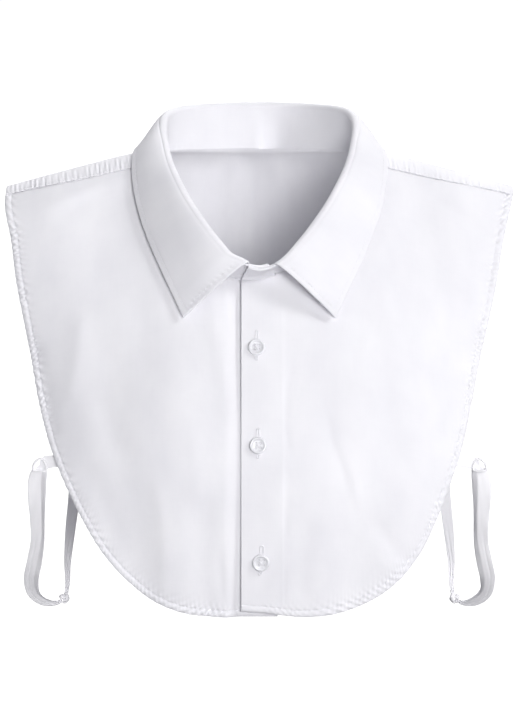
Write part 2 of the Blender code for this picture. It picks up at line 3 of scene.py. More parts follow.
import bpy
import numpy as np
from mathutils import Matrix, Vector


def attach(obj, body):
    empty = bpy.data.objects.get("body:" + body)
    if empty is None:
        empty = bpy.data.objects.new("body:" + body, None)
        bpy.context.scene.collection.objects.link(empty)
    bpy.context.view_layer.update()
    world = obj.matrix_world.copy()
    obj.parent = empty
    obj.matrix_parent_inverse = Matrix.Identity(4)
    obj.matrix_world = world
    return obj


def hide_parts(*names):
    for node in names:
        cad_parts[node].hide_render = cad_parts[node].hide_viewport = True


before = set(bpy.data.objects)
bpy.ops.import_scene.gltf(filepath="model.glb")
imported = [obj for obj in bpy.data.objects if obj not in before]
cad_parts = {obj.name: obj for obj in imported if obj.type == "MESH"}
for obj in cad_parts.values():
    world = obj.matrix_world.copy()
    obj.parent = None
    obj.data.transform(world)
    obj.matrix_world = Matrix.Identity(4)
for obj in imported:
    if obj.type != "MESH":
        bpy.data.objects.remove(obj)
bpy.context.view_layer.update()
mm = 0.001
print("frame loaded with", len(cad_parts), "solids")

# camera
lens = {"target": (0.0, 0.0, -0.153), "distance": 2.8, "elevation": 6.0, "length": 193.05, "sensor": 36.0}  # metres


def makeCamera(values):
    # the camera stands at target + distance * (0, -cos elevation, sin elevation) and looks at the target
    tilt = math.radians(values["elevation"])
    target = Vector(values["target"])
    camera = bpy.data.objects.new("camera", bpy.data.cameras.new("camera"))
    camera.data.lens = values["length"]
    camera.data.sensor_fit = "VERTICAL"
    camera.data.sensor_height = values["sensor"]
    camera.location = target + values["distance"] * Vector((0.0, -math.cos(tilt), math.sin(tilt)))
    camera.rotation_euler = (math.radians(90.0) - tilt, 0.0, 0.0)
    bpy.context.scene.collection.objects.link(camera)
    bpy.context.scene.camera = camera


makeCamera(lens)
print("camera placed")

# curves and the figure under the cloth


def splineAt(knots, values, at):
    # smooth curve through rows of values: a cubic in each cell, its end slopes weighed from both neighbours;
    # a table of several columns gives one curve for each column
    knots = np.asarray(knots, float)
    values = np.asarray(values, float)
    if values.ndim == 2:
        return np.stack([splineAt(knots, column, at) for column in values.T], axis=-1)
    steps = np.diff(knots)
    rises = np.diff(values) / steps
    slopes = np.empty_like(values)
    slopes[1:-1] = (rises[:-1] * steps[1:] + rises[1:] * steps[:-1]) / (steps[:-1] + steps[1:])
    slopes[0], slopes[-1] = rises[0], rises[-1]
    at = np.clip(np.asarray(at, float), knots[0], knots[-1])
    cell = np.clip(np.searchsorted(knots, at, side="right") - 1, 0, len(steps) - 1)
    t = (at - knots[cell]) / steps[cell]
    low = values[cell] * (1 + 2 * t) + slopes[cell] * steps[cell] * t
    high = values[cell + 1] * (3 - 2 * t) - slopes[cell + 1] * steps[cell] * (1 - t)
    return low * (1 - t) ** 2 + high * t**2


def smoothStep(value, start, end):
    # t * t * (3 - 2t), where t runs from 0 at start to 1 at end
    t = np.clip((value - start) / (end - start), 0.0, 1.0)
    return t * t * (3 - 2 * t)


def bell(value, centre, half):
    # exp(-((value - centre) / half) squared)
    return np.exp(-(((value - centre) / half) ** 2))


def circle(count):
    # angles of one full turn, with no second point at its end
    return np.linspace(0.0, 2.0 * math.pi, count, endpoint=False)


def unit(vectors):
    # each vector over its own length
    return vectors / np.maximum(np.linalg.norm(vectors, axis=-1, keepdims=True), 1e-9)


def lengthsAlong(points):
    # running sum of the distances from point to point, from 0
    steps = np.linalg.norm(np.diff(points, axis=0), axis=1)
    return np.concatenate([[0.0], np.cumsum(steps)])


figureForm = {
    "shoulderHalf": 222.0, "chestHalf": 190.0, "chestRun": 190.0, "squareness": 2.6,
    "shoulderStart": 82.0, "shoulderSlope": 0.273, "shoulderSoftness": 10.0,
    "capShare": 0.65, "capStart": 90.0, "capFull": 180.0, "capRun": 100.0,
    "neckPush": 43.0, "neckPushHalf": 80.0, "neckPushPower": 1.5, "pushRunBack": 95.0, "pushRunFront": 14.0,
    "section": (  # reach to the back (+) or front (-), drop below the ridge
        (98, 345), (102, 280), (104, 220), (98, 160), (82, 110), (63, 70), (49, 45),
        (35, 25), (24, 12), (13, 4), (0, 0), (-12, 4), (-20, 14), (-27, 30),
        (-40, 55), (-60, 91), (-84, 150), (-102, 220), (-105, 280), (-102, 345),
    ),
}
section = np.array(figureForm["section"])
sectionRun = lengthsAlong(section)
sectionRun = sectionRun - sectionRun[int(np.argmin(section[:, 1]))]
denseRun = np.linspace(sectionRun[0], sectionRun[-1], 1200)
denseDrop = splineAt(sectionRun, section[:, 1], denseRun)


def ridgeHeight(x):
    # level near the neck, then falling evenly: minus slope * softness * log(1 + exp((|x| - start) / softness))
    f = figureForm
    return -f["shoulderSlope"] * f["shoulderSoftness"] * np.logaddexp(
        0.0, (np.abs(x) - f["shoulderStart"]) / f["shoulderSoftness"])


def figureAt(x, run):
    # y is the section's reach, rounded away toward the sides as a squarish ellipse, plus the neck's push;
    # z is the shoulder ridge less the section's drop at this run over the shoulder
    f = figureForm
    x = np.asarray(x, float)
    run = np.asarray(run, float)
    reach = splineAt(sectionRun, section[:, 0], run)
    drop = splineAt(sectionRun, section[:, 1], run)
    half = f["shoulderHalf"] + (f["chestHalf"] - f["shoulderHalf"]) * smoothStep(np.abs(run), 0.0, f["chestRun"])
    side = (1.0 - np.abs(x / half) ** f["squareness"]) ** (1.0 / f["squareness"])
    cap = f["capShare"] * smoothStep(np.abs(x), f["capStart"], f["capFull"]) * bell(run, 0.0, f["capRun"])
    push = f["neckPush"] * np.clip(1.0 - (x / f["neckPushHalf"]) ** 2, 0.0, None) ** f["neckPushPower"]
    pushRun = np.where(run < 0.0, f["pushRunBack"], f["pushRunFront"])
    y = reach * side * (1.0 + cap) + push * bell(run, 0.0, pushRun)
    return np.stack(np.broadcast_arrays(x, y, ridgeHeight(x) - drop), axis=-1)


def runAt(x, z, front):
    # the run over the shoulder at which the cloth at x has height z
    keep = denseRun >= 0.0 if front else denseRun <= 0.0
    order = np.argsort(denseDrop[keep])
    return np.interp(ridgeHeight(x) - z, denseDrop[keep][order], denseRun[keep][order])


def outwardAt(x, run):
    # cross product of the two slopes of the figure
    across = figureAt(x + 0.5, run) - figureAt(x - 0.5, run)
    along = figureAt(x, run + 0.5) - figureAt(x, run - 0.5)
    return unit(np.cross(along, across))


# meshes


def addPiece(name, points, quads, material, uv=None, sharp=None, caps=()):
    # millimetre points become metres; uv holds one pair for each point; caps are flat many-sided ends
    mesh = bpy.data.meshes.new(name)
    mesh.vertices.add(len(points))
    mesh.vertices.foreach_set("co", (points * mm).astype(np.float32).ravel())
    corners = np.concatenate([quads.ravel(), *caps]).astype(np.int32)
    sizes = np.array([4] * len(quads) + [len(cap) for cap in caps])
    mesh.loops.add(len(corners))
    mesh.loops.foreach_set("vertex_index", corners)
    mesh.polygons.add(len(sizes))
    mesh.polygons.foreach_set("loop_start", (np.cumsum(sizes) - sizes).astype(np.int32))
    mesh.update(calc_edges=True)
    if uv is not None:
        layer = mesh.uv_layers.new(name="cloth")
        layer.uv.foreach_set("vector", uv[corners].astype(np.float32).ravel())
    mesh.materials.append(material)
    mesh.shade_smooth()
    if sharp:
        mesh.set_sharp_from_angle(angle=math.radians(sharp))
    piece = bpy.data.objects.new(name, mesh)
    bpy.context.scene.collection.objects.link(piece)
    return piece


def joinParts(parts):
    # several (points, quads, uv) become one, with the quads counted on
    starts = np.cumsum([0, *(len(part[0]) for part in parts[:-1])])
    quads = [part[1] + start for part, start in zip(parts, starts)]
    return np.concatenate([p[0] for p in parts]), np.concatenate(quads), np.concatenate([p[2] for p in parts])


def wallPart(outer, inner, uv):
    # two facing grids joined round their rims into one closed wall
    columns, rows = outer.shape[:2]
    count = columns * rows
    index = np.arange(count).reshape(columns, rows)
    face = np.stack([index[:-1, :-1], index[1:, :-1], index[1:, 1:], index[:-1, 1:]], axis=-1).reshape(-1, 4)
    rim = np.concatenate([index[:, 0], index[-1, 1:], index[-2::-1, -1], index[0, -2:0:-1]])
    after = np.roll(rim, -1)
    sides = np.stack([after, rim, rim + count, after + count], axis=-1)
    quads = np.concatenate([face, face[:, ::-1] + count, sides])
    points = np.concatenate([outer.reshape(-1, 3), inner.reshape(-1, 3)])
    flat = uv.reshape(-1, 2)
    return faceOut(points, quads), np.concatenate([flat, flat])


def faceOut(points, quads):
    # turns all faces round where the volume they enclose counts as negative
    return points, quads[:, ::-1] if signedVolume(points, quads) < 0.0 else quads


def addWall(name, outer, inner, material, uv):
    # a closed wall as a piece of its own
    (points, quads), flat = wallPart(outer, inner, uv)
    return addPiece(name, points, quads, material, flat)


def signedVolume(points, quads):
    # sum of a . (b x c) / 6 over both triangles of each face; above 0 where the faces point outwards
    a, b, c, d = (points[quads[:, k]] for k in range(4))
    return (np.sum(a * np.cross(b, c)) + np.sum(a * np.cross(c, d))) / 6.0


def gridNormals(grid):
    # cross product of the slopes along both ways of the grid
    return unit(np.cross(np.gradient(grid, axis=0), np.gradient(grid, axis=1)))


def roundedHalf(half, distance):
    # half thickness that falls off as a circle within one half thickness of a free edge
    t = np.clip(distance / half, 0.0, 1.0)
    return half * np.maximum(np.sqrt(1.0 - (1.0 - t) ** 2), 0.08)


def clothUv(across, along):
    # the cloth's own metres, moved so that all lie between 0 and 1
    return np.stack(np.broadcast_arrays(across * mm + 0.5, along * mm + 0.5), axis=-1)


def figureWall(name, x, run, middle, half, side, material):
    # a wall on the figure, whose middle stands out by the given height; side -1 mirrors it
    face, normal = figureAt(x, run), outwardAt(x, run)
    mirror = np.array([side, 1.0, 1.0])
    outer = (face + normal * (middle + half)[..., None]) * mirror
    inner = (face + normal * (middle - half)[..., None]) * mirror
    piece = addWall(name, outer, inner, material, clothUv(x * side, run))
    return {"piece": piece, "outer": outer, "inner": inner, "normal": normal * mirror}

# finishes
finishes = {  # thread is the pitch, in millimetres; weave and crumple are the strengths of the two bumps
    "cottonPoplin": {"color": (0.82, 0.815, 0.85), "rough": 0.82, "thread": 0.42, "weave": 0.20, "crumple": 0.5},
    "collarCotton": {"color": (0.82, 0.815, 0.85), "rough": 0.80, "thread": 0.42, "weave": 0.16, "crumple": 0.2},
    "tapeCotton": {"color": (0.90, 0.895, 0.92), "rough": 0.70, "thread": 0.50, "weave": 0.35, "crumple": 0.12},
    "sewingThread": {"color": (0.82, 0.815, 0.85), "rough": 0.60, "thread": 0.20, "weave": 0.30, "crumple": 0.0},
}
weaveForm = {  # scales in cycles for each metre of cloth
    "slubs": ((60.0, 1500.0, 1.0), (1500.0, 60.0, 1.0)), "cloudStretch": (1.5, 0.8, 1.0), "cloud": 24.0,
    "crumple": 65.0, "crossing": 0.3, "ridge": 0.35, "slubHeight": 0.35, "cloudTone": 0.8, "slubTone": 0.2,
}
shades = {  # parts of a finish's colour at the two ends of its mask, and the mask's usual range
    "dark": (0.955, 0.955, 0.97), "light": 1.04, "from": 0.3, "to": 0.7,
    "roughRange": 0.14, "crumpleDepth": 0.5, "weaveDepth": 0.12,  # bump depths in millimetres
}
resin = {"color": (0.80, 0.80, 0.84), "rough": 0.22, "roughRange": 0.12, "coat": 0.35, "cloud": 0.05, "scale": 260.0}


def setInputs(tree, node, inputs):
    # inputs by name or number: another node's output is linked, anything else is a value
    for name, value in inputs.items():
        if isinstance(value, bpy.types.NodeSocket):
            tree.links.new(value, node.inputs[name])
        else:
            node.inputs[name].default_value = value
    return node


def addNode(tree, kind, inputs):
    # one shader node with its inputs set
    return setInputs(tree, tree.nodes.new("ShaderNode" + kind), inputs)


def mathNode(tree, kind, *values):
    # one Math node on up to three values
    node = addNode(tree, "Math", dict(enumerate(values)))
    node.operation = kind
    return node.outputs[0]


def noiseNode(tree, vector, scale, detail):
    # noise with its scale in cycles for each metre of cloth
    return addNode(tree, "TexNoise", {"Vector": vector, "Scale": scale, "Detail": detail}).outputs["Fac"]


def stretched(tree, vector, scale):
    # the vector times its own scale along each axis
    return addNode(tree, "Mapping", {"Vector": vector, "Scale": scale}).outputs[0]


def makeWeaveGroup(w):
    # plain weave: threads are |sin| ridges both ways, and sin * sin lifts every second crossing;
    # slubs are noise stretched along each thread, and crumple is broad soft noise
    group = bpy.data.node_groups.new("plainWeave", "ShaderNodeTree")
    group.interface.new_socket("Vector", in_out="INPUT", socket_type="NodeSocketVector")
    group.interface.new_socket("Thread pitch", in_out="INPUT", socket_type="NodeSocketFloat")
    for name in ("Height", "Tone", "Crumple"):
        group.interface.new_socket(name, in_out="OUTPUT", socket_type="NodeSocketFloat")
    start = group.nodes.new("NodeGroupInput")
    place = start.outputs["Vector"]
    split = addNode(group, "SeparateXYZ", {0: place})
    turn = mathNode(group, "DIVIDE", math.pi / mm, start.outputs["Thread pitch"])
    sines = [mathNode(group, "SINE", mathNode(group, "MULTIPLY", split.outputs[axis], turn)) for axis in "XY"]
    crossing = mathNode(group, "MULTIPLY", *sines)
    ridges = mathNode(group, "ADD", *(mathNode(group, "ABSOLUTE", sine) for sine in sines))
    height = mathNode(group, "MULTIPLY_ADD", crossing, w["crossing"], mathNode(group, "MULTIPLY", ridges, w["ridge"]))
    slubs = [noiseNode(group, stretched(group, place, scale), 1.0, 1.0) for scale in w["slubs"]]
    slub = mathNode(group, "MULTIPLY", mathNode(group, "ADD", *slubs), 0.5)
    cloud = noiseNode(group, stretched(group, place, w["cloudStretch"]), w["cloud"], 4.0)
    setInputs(group, group.nodes.new("NodeGroupOutput"), {
        "Height": mathNode(group, "MULTIPLY_ADD", slub, w["slubHeight"], height),
        "Tone": mathNode(group, "MULTIPLY_ADD", cloud, w["cloudTone"], mathNode(group, "MULTIPLY", slub, w["slubTone"])),
        "Crumple": noiseNode(group, place, w["crumple"], 3.0),
    })
    return group


weaveGroup = makeWeaveGroup(weaveForm)


def toneRamp(tree, fac, dark, light):
    # colour between dark and light at the two ends of the mask's usual range
    ramp = addNode(tree, "ValToRGB", {"Fac": fac})
    for element, position, color in zip(ramp.color_ramp.elements, (shades["from"], shades["to"]), (dark, light)):
        element.position = position
        element.color = (*color, 1.0)
    return ramp.outputs["Color"]


def newMaterial(name):
    # a material, its node tree and its main shader
    material = bpy.data.materials.new(name)
    material.use_nodes = True
    return material, material.node_tree, material.node_tree.nodes["Principled BSDF"]


def makeCloth(name, values):
    # woven cotton: tone varies colour and roughness, crumple and weave feed two bumps in a row
    material, tree, shader = newMaterial(name)
    place = tree.nodes.new("ShaderNodeUVMap")
    place.uv_map = "cloth"
    weave = tree.nodes.new("ShaderNodeGroup")
    weave.node_tree = weaveGroup
    setInputs(tree, weave, {"Vector": place.outputs[0], "Thread pitch": values["thread"]})
    tone = weave.outputs["Tone"]
    color = np.array(values["color"])
    soft = addNode(tree, "Bump", {"Strength": values["crumple"], "Distance": shades["crumpleDepth"] * mm,
                                  "Height": weave.outputs["Crumple"]})
    fine = addNode(tree, "Bump", {"Strength": values["weave"], "Distance": shades["weaveDepth"] * mm,
                                  "Height": weave.outputs["Height"], "Normal": soft.outputs[0]})
    setInputs(tree, shader, {
        "Base Color": toneRamp(tree, tone, color * shades["dark"], color * shades["light"]),
        "Roughness": mathNode(tree, "MULTIPLY_ADD", tone, shades["roughRange"],
                              values["rough"] - shades["roughRange"] / 2),
        "Normal": fine.outputs[0], "Specular IOR Level": 0.25, "Sheen Weight": 0.12, "Sheen Roughness": 0.5,
    })
    return material


def makeResin(values):
    # clouded resin: broad noise in object metres shifts colour and roughness a little, under a clear coat
    material, tree, shader = newMaterial("buttonResin")
    cloud = noiseNode(tree, tree.nodes.new("ShaderNodeTexCoord").outputs["Object"], values["scale"], 3.0)
    color = np.array(values["color"])
    setInputs(tree, shader, {
        "Base Color": toneRamp(tree, cloud, color * (1.0 - values["cloud"]), color * 1.03),
        "Roughness": mathNode(tree, "MULTIPLY_ADD", cloud, values["roughRange"],
                              values["rough"] - values["roughRange"] / 2),
        "Coat Weight": values["coat"], "Coat Roughness": 0.12,
    })
    return material


cloth = {name: makeCloth(name, values) for name, values in finishes.items()}
buttonResin = makeResin(resin)
print("finishes made:", ", ".join([*cloth, "buttonResin"]))


def finishPiece(piece, nodes=()):
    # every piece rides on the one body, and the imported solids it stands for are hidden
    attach(piece, "root")
    if nodes:
        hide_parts(*nodes)
    return piece


# side tapes, in metres
tapes = {
    "width": 0.0105, "wall": 0.0005, "steps": 300, "strips": 23, "lieGap": 0.00035,
    "hemWall": 0.0018, "clothWall": 0.0012, "cadWall": 0.001,
    "foldShare": 0.42, "foldAngle": 50.0, "turned": 1.5,  # where the inner strip turns, how far, how wide
    "frontEnd": ((0.134, -0.215, 0.8, 0.0), (0.1435, -0.2165, 0.8, 0.001)),  # x, z, width share, clear of panel
    "backEnd": ((0.1345, -0.223, 0.8, 0.0024), (0.1315, -0.211, 0.8, 0.0003), (0.1295, -0.201, 0.8, 0.0001)),
    "route": (  # x, y, z, width share
        (0.1548, -0.0710, -0.2205, 0.94), (0.1574, -0.0700, -0.2300, 1.20), (0.1579, -0.0675, -0.2430, 1.26),
        (0.1576, -0.0620, -0.2590, 1.14), (0.1582, -0.0545, -0.2760, 1.00), (0.1616, -0.0440, -0.2935, 1.00),
        (0.1646, -0.0340, -0.3080, 1.00), (0.1630, -0.0225, -0.3205, 0.90), (0.1550, -0.0110, -0.3285, 0.66),
        (0.1474, -0.0034, -0.3306, 0.30), (0.1424, 0.0024, -0.3280, 0.24), (0.1408, 0.0080, -0.3210, 0.30),
        (0.1409, 0.0185, -0.3045, 0.48), (0.1396, 0.0330, -0.2840, 0.70), (0.1376, 0.0490, -0.2620, 0.80),
        (0.1364, 0.0610, -0.2410, 0.80),
    ),
    "knotStation": 12,
    "eye": ((0.1604, -0.2236), (0.1592, -0.2186), (0.1552, -0.2158), (0.1522, -0.2186), (0.1514, -0.2236),
            (0.1558, -0.2246)),  # x, z of the little loop where the tape turns down
    "eyeDepth": -0.0716, "eyeWide": 0.0019, "eyeThick": 0.0008, "eyeSteps": 72, "eyeSides": 12,
    "notch": 0.8, "notchAt": 25.0, "notchHalf": 3.0,  # from here on millimetres along the tape, and heights
    "hangFrom": (17.0, 30.0), "hangTo": (16.0, 4.0), "gather": 0.45, "wave": 0.30, "sway": 0.28, "crease": 0.35,
}
knotForm = {"radius": 1.45, "spread": 1.0, "height": 1.3, "around": 140, "sides": 16}


def behindPanel(row, front):
    # a row of the tape's table that lies on the inside of a panel, in millimetres
    t = tapes
    x, z, clear = row[0] / mm, row[1] / mm, row[3] / mm
    run = runAt(x, z, front)
    normal = outwardAt(x, run)
    depth = ((t["hemWall"] + t["clothWall"]) / 2 + t["lieGap"] + t["cadWall"] / 2) / mm + clear
    return (*(figureAt(x, run) - normal * depth), row[2], *(normal if front else -normal))


def tapeEye():
    # closed loop of tape: the spline through its table, carried round by a flat oval cross-section
    t = tapes
    count = len(t["eye"])
    table = np.array([*t["eye"][-1:], *t["eye"], *t["eye"][:2]]) / mm
    at = np.linspace(0.0, count, t["eyeSteps"], endpoint=False)
    flat = splineAt(np.arange(-1.0, count + 2.0), table, at)
    path = np.stack([flat[:, 0], np.full(t["eyeSteps"], t["eyeDepth"] / mm), flat[:, 1]], axis=-1)
    slope = unit(np.roll(path, -1, axis=0) - np.roll(path, 1, axis=0))
    back = np.array([0.0, 1.0, 0.0])
    angle = circle(t["eyeSides"])[None, :, None]
    ring = np.cos(angle) * np.cross(slope, back)[:, None] * t["eyeThick"] / mm
    return ringPart(path[:, None] + (ring + np.sin(angle) * back * t["eyeWide"] / mm), True, at * 4.0, 0.5)


def makeTape(name, side, material):
    # the middle line is a spline through the table; across it the tape is flat and then turns back by the fold
    # angle, as wide as its share, with soft waves along both edges and gathers where it is drawn into the knot
    t = tapes
    rows = [behindPanel(row, True) for row in t["frontEnd"]]
    rows += [(row[0] / mm, row[1] / mm, row[2] / mm, row[3], 0.0, -1.0, 0.0) for row in t["route"]]
    rows += [behindPanel(row, False) for row in t["backEnd"]]
    table = np.array(rows)
    knots = lengthsAlong(table[:, :3])
    station = knots[t["knotStation"]]
    at = np.linspace(0.0, knots[-1], t["steps"])[:, None]
    middle = splineAt(knots, table[:, :3], at[:, 0])
    share = splineAt(knots, table[:, 3], at)
    tangent = unit(np.gradient(middle, axis=0))
    across = unit(np.cross(tangent, splineAt(knots, table[:, 4:], at[:, 0])))
    through = unit(np.cross(across, tangent))
    s = np.linspace(-1.0, 1.0, t["strips"])[None, :]
    width = t["width"] / mm * share / 2
    hang = smoothStep(at, *t["hangFrom"]) * (1.0 - smoothStep(at, station - t["hangTo"][0], station - t["hangTo"][1]))
    bend = np.radians(t["foldAngle"]) * hang * (1.0 - 0.25 * np.sin(at / 14.0))
    past = np.clip(s - t["foldShare"], 0.0, None)
    corner = smoothStep(s, t["foldShare"] - 0.12, t["foldShare"] + 0.12)
    stretch = 1.0 + (t["turned"] - 1.0) * hang
    lateral = s - past + past * stretch * (1.0 - corner * (1.0 - np.cos(bend)))
    depth = -side * past * stretch * corner * np.sin(bend)
    gather = (1.0 - smoothStep(share, 0.3, 0.8)) * t["gather"] * np.sin(s * 8.0 + at * 0.11)
    wave = (t["wave"] * np.sin(at * 0.21 + 2.1 * s) * np.abs(s) + t["sway"] * np.sin(at * 0.13)) * hang
    crease = t["crease"] * bell(s, -0.35, 0.12) * hang * smoothStep(at, 70.0, 95.0)
    notch = 1.0 - t["notch"] * bell(at, t["notchAt"], t["notchHalf"]) * (s < 0.0)
    grid = middle[:, None] + across[:, None] * (width * lateral * notch)[..., None] + through[:, None] * (
        width * depth + gather + wave - crease)[..., None]
    half = t["wall"] / mm / 2 * np.maximum(np.sqrt(1.0 - np.clip(np.abs(s) - 0.9, 0.0, 0.1) ** 2 * 90.0), 0.3)
    offset = gridNormals(grid) * np.broadcast_to(half, grid.shape[:2])[..., None]
    (points, quads), uv = wallPart(grid + offset, grid - offset, clothUv(width * s, at - 250.0))
    points, quads, uv = joinParts([(points, quads, uv), tapeEye()])
    mirror = np.array([side, 1.0, 1.0])
    points, quads = faceOut(points * mirror, quads)
    piece = addPiece(name, points, quads, material, uv)
    way = tangent[int(np.argmin(np.abs(at - station)))]
    return piece, middle * mirror * mm, knots[-1] * mm, splineAt(knots, table[:, :3], station), way


def turnedTo(normal):
    # three columns: a level direction, the one square to both, and the normal itself
    forward = unit(np.asarray(normal, float))
    level = unit(np.cross([0.0, 0.0, 1.0], forward))
    return np.stack([level, np.cross(forward, level), forward], axis=-1)


def tubeGrid(path, radius, sides, closed):
    # rings of the given radius round a path, each ring square to the path's slope
    slope = np.roll(path, -1, axis=0) - np.roll(path, 1, axis=0) if closed else np.gradient(path, axis=0)
    slope = unit(slope)
    seed = np.array([0.31, 0.27, 0.91])
    first = unit(seed - slope * (slope @ seed)[:, None])
    second = np.cross(slope, first)
    angle = circle(sides)[None, :, None]
    ring = np.cos(angle) * first[:, None] + np.sin(angle) * second[:, None]
    return path[:, None] + ring * np.broadcast_to(radius, (len(path),))[:, None, None]


def ringQuads(count, sides, closed):
    # quads between neighbouring rings; closed joins the last ring to the first
    index = np.arange(count * sides).reshape(count, sides)
    after = np.roll(index, -1, axis=0) if closed else index[1:]
    here = index if closed else index[:-1]
    return np.stack([here, np.roll(here, -1, axis=1), np.roll(after, -1, axis=1), after], axis=-1).reshape(-1, 4)


def ringPart(grid, closed, along, pitch):
    # rings of points as (points, quads, uv); along is each ring's place on the cloth, pitch the step round it
    count, sides = grid.shape[:2]
    uv = clothUv(np.repeat(along, sides), np.tile(np.arange(sides) * pitch, count))
    return grid.reshape(-1, 3), ringQuads(count, sides, closed), uv


def makeKnot(name, side, place, way, material):
    # trefoil: (sin t + 2 sin 2t, cos t - 2 cos 2t, -sin 3t), a closed tube round the gathered tape
    k = knotForm
    t = circle(k["around"])
    path = np.stack([np.sin(t) + 2 * np.sin(2 * t), np.cos(t) - 2 * np.cos(2 * t),
                     -k["height"] * np.sin(3 * t)], axis=-1) * k["spread"]
    grid = tubeGrid(path, k["radius"] * (1.0 + 0.12 * np.sin(7 * t)), k["sides"], True)
    points, quads, uv = ringPart(grid, True, t * 4.0, 0.5)
    points, quads = faceOut((points @ turnedTo(way).T + place) * np.array([side, 1.0, 1.0]), quads)
    return addPiece(name, points, quads, material, uv)


for label, side in (("left", 1.0), ("right", -1.0)):
    tapePiece, tapeLine, tapeLength, knotPlace, knotWay = makeTape("tape" + label.title(), side, cloth["tapeCotton"])
    knotPiece = makeKnot("knot" + label.title(), side, knotPlace, knotWay, cloth["tapeCotton"])
    finishPiece(tapePiece, ["tape_" + label])
    finishPiece(knotPiece, ["knot_" + label])
    print("tape", label, "is", round(tapeLength, 3), "m long")

# collar curves, from centre front to centre back
collarForm = {
    "rows": (  # neck seam: sideways, run over the shoulder; crest of the roll: x, y, z; leaf edge: x, y, z
        (0, 111, 0, -79, -79, 46, -82, -131),
        (16, 110, 14, -76, -73.5, 53.6, -75, -115.5),
        (33, 100, 26, -70, -61, 61, -66.7, -100.6),
        (45, 84, 37, -62.5, -47.5, 70.5, -57.3, -81.4),
        (54.5, 66, 47, -53.5, -33.5, 79, -46.4, -62.7),
        (61, 46, 55.5, -43, -19, 86, -35.6, -43.7),
        (65, 28, 61.5, -31, -6.5, 90.5, -26, -24.3),
        (67.5, 12, 65.2, -16.5, 5.5, 91.6, -14.5, -8),
        (68.5, 0, 67.2, -1, 16, 89.5, 2, -0.8),
        (67, -7, 65.5, 14, 25.5, 84.5, 20, -5.5),
        (57, -8.5, 56.5, 31, 30, 72, 39, -14),
        (33, -9.5, 32.5, 51, 31.5, 42, 59.5, -14.5),
        (0, -10, 0, 58.5, 32, 0, 71, -14.5),
    ),
    "rollRadius": 2.6, "crown": 6.6, "crownPower": 0.6, "standWall": 2.0, "fallWall": 1.6, "seamGap": 0.3,
    "leafStartRight": 0.6, "leafStartLeft": 0.73, "endLow": 0.81, "endTop": 0.54,
    "lapStart": 25.0, "lapFull": 14.0, "lapNeckRaise": 3.0, "lapStandDepth": 3.0,
    "lapDepth": ((-330.0, 5.0), (-265.0, 3.0), (-200.0, 2.1), (-130.0, 4.0), (-60.0, 4.6)),  # height, depth
    "standDrop": 0.4, "footDrop": 0.8, "stitchIn": 4.2, "underDrop": 1.9,
    "neckLift": 7.2, "neckLiftAt": 13.0, "neckLiftHalf": 13.0,
    "standRipple": 0.14, "standWave": 0.35, "standGather": 0.75, "standBead": 0.35, "standGroove": 0.12,
    "leafBead": 0.16, "leafGroove": 0.22, "leafRipple": 0.13, "leafSlack": 0.30,
}
lastStation = len(collarForm["rows"]) - 1


def collarColumn(column, station):
    # one column of the table, carried past both centre lines so that it stays smooth there
    table = np.array(collarForm["rows"])[:, column]
    before = 2.0 * table[0] - table[1] if column >= 5 else (-table[1] if column in (0, 2) else table[1])
    after = -table[-2] if column in (0, 2, 5) else table[-2]
    values = np.concatenate([[before], table, [after]])
    return splineAt(np.arange(-1.0, lastStation + 2.0), values, station)


def collarAt(columns, q):
    # q runs from -lastStation at the front on the wearer's right, through 0 at the back, to +lastStation
    station = lastStation - np.abs(q)
    first = collarColumn(columns[0], station) * np.where(q < 0.0, -1.0, 1.0)
    return [first, *(collarColumn(column, station) for column in columns[1:])]


def lapDepthAt(z):
    # depth of the layer beneath at height z
    table = np.array(collarForm["lapDepth"])
    return splineAt(table[:, 0], table[:, 1], z)


def neckLiftAt(x):
    # the front that laps on top is drawn up a little beside the centre front
    c = collarForm
    return c["neckLift"] * bell(x, c["neckLiftAt"], c["neckLiftHalf"])


def neckSeamAt(q, under, lift=0.0):
    # the figure at the seam's x and run, sunk by the lap depth where the layer lies beneath
    x, run = collarAt((0, 1), q)
    run = run - collarForm["lapNeckRaise"] * under - lift * neckLiftAt(x) * (q > 0.0)
    point = figureAt(x, run)
    return point - outwardAt(x, run) * (lapDepthAt(point[..., 2]) * under)[..., None]


def rollCrestAt(q, under):
    # crest of the roll, and the direction in which the stand rises to it
    point = np.stack(collarAt((2, 3, 4), q), axis=-1)
    rise = unit(point - neckSeamAt(q, np.zeros_like(q)))
    inward = unit(np.cross(np.gradient(point, axis=0), rise))
    return point + inward * (collarForm["lapStandDepth"] * under)[..., None], rise


def underShare(q):
    # 1 where the wearer's right end has slipped under, near the centre front
    c = collarForm
    x = collarAt((0, 1), q)[0]
    return np.where(q < -lastStation / 2, smoothStep(x, -c["lapStart"], -c["lapFull"]), 0.0)


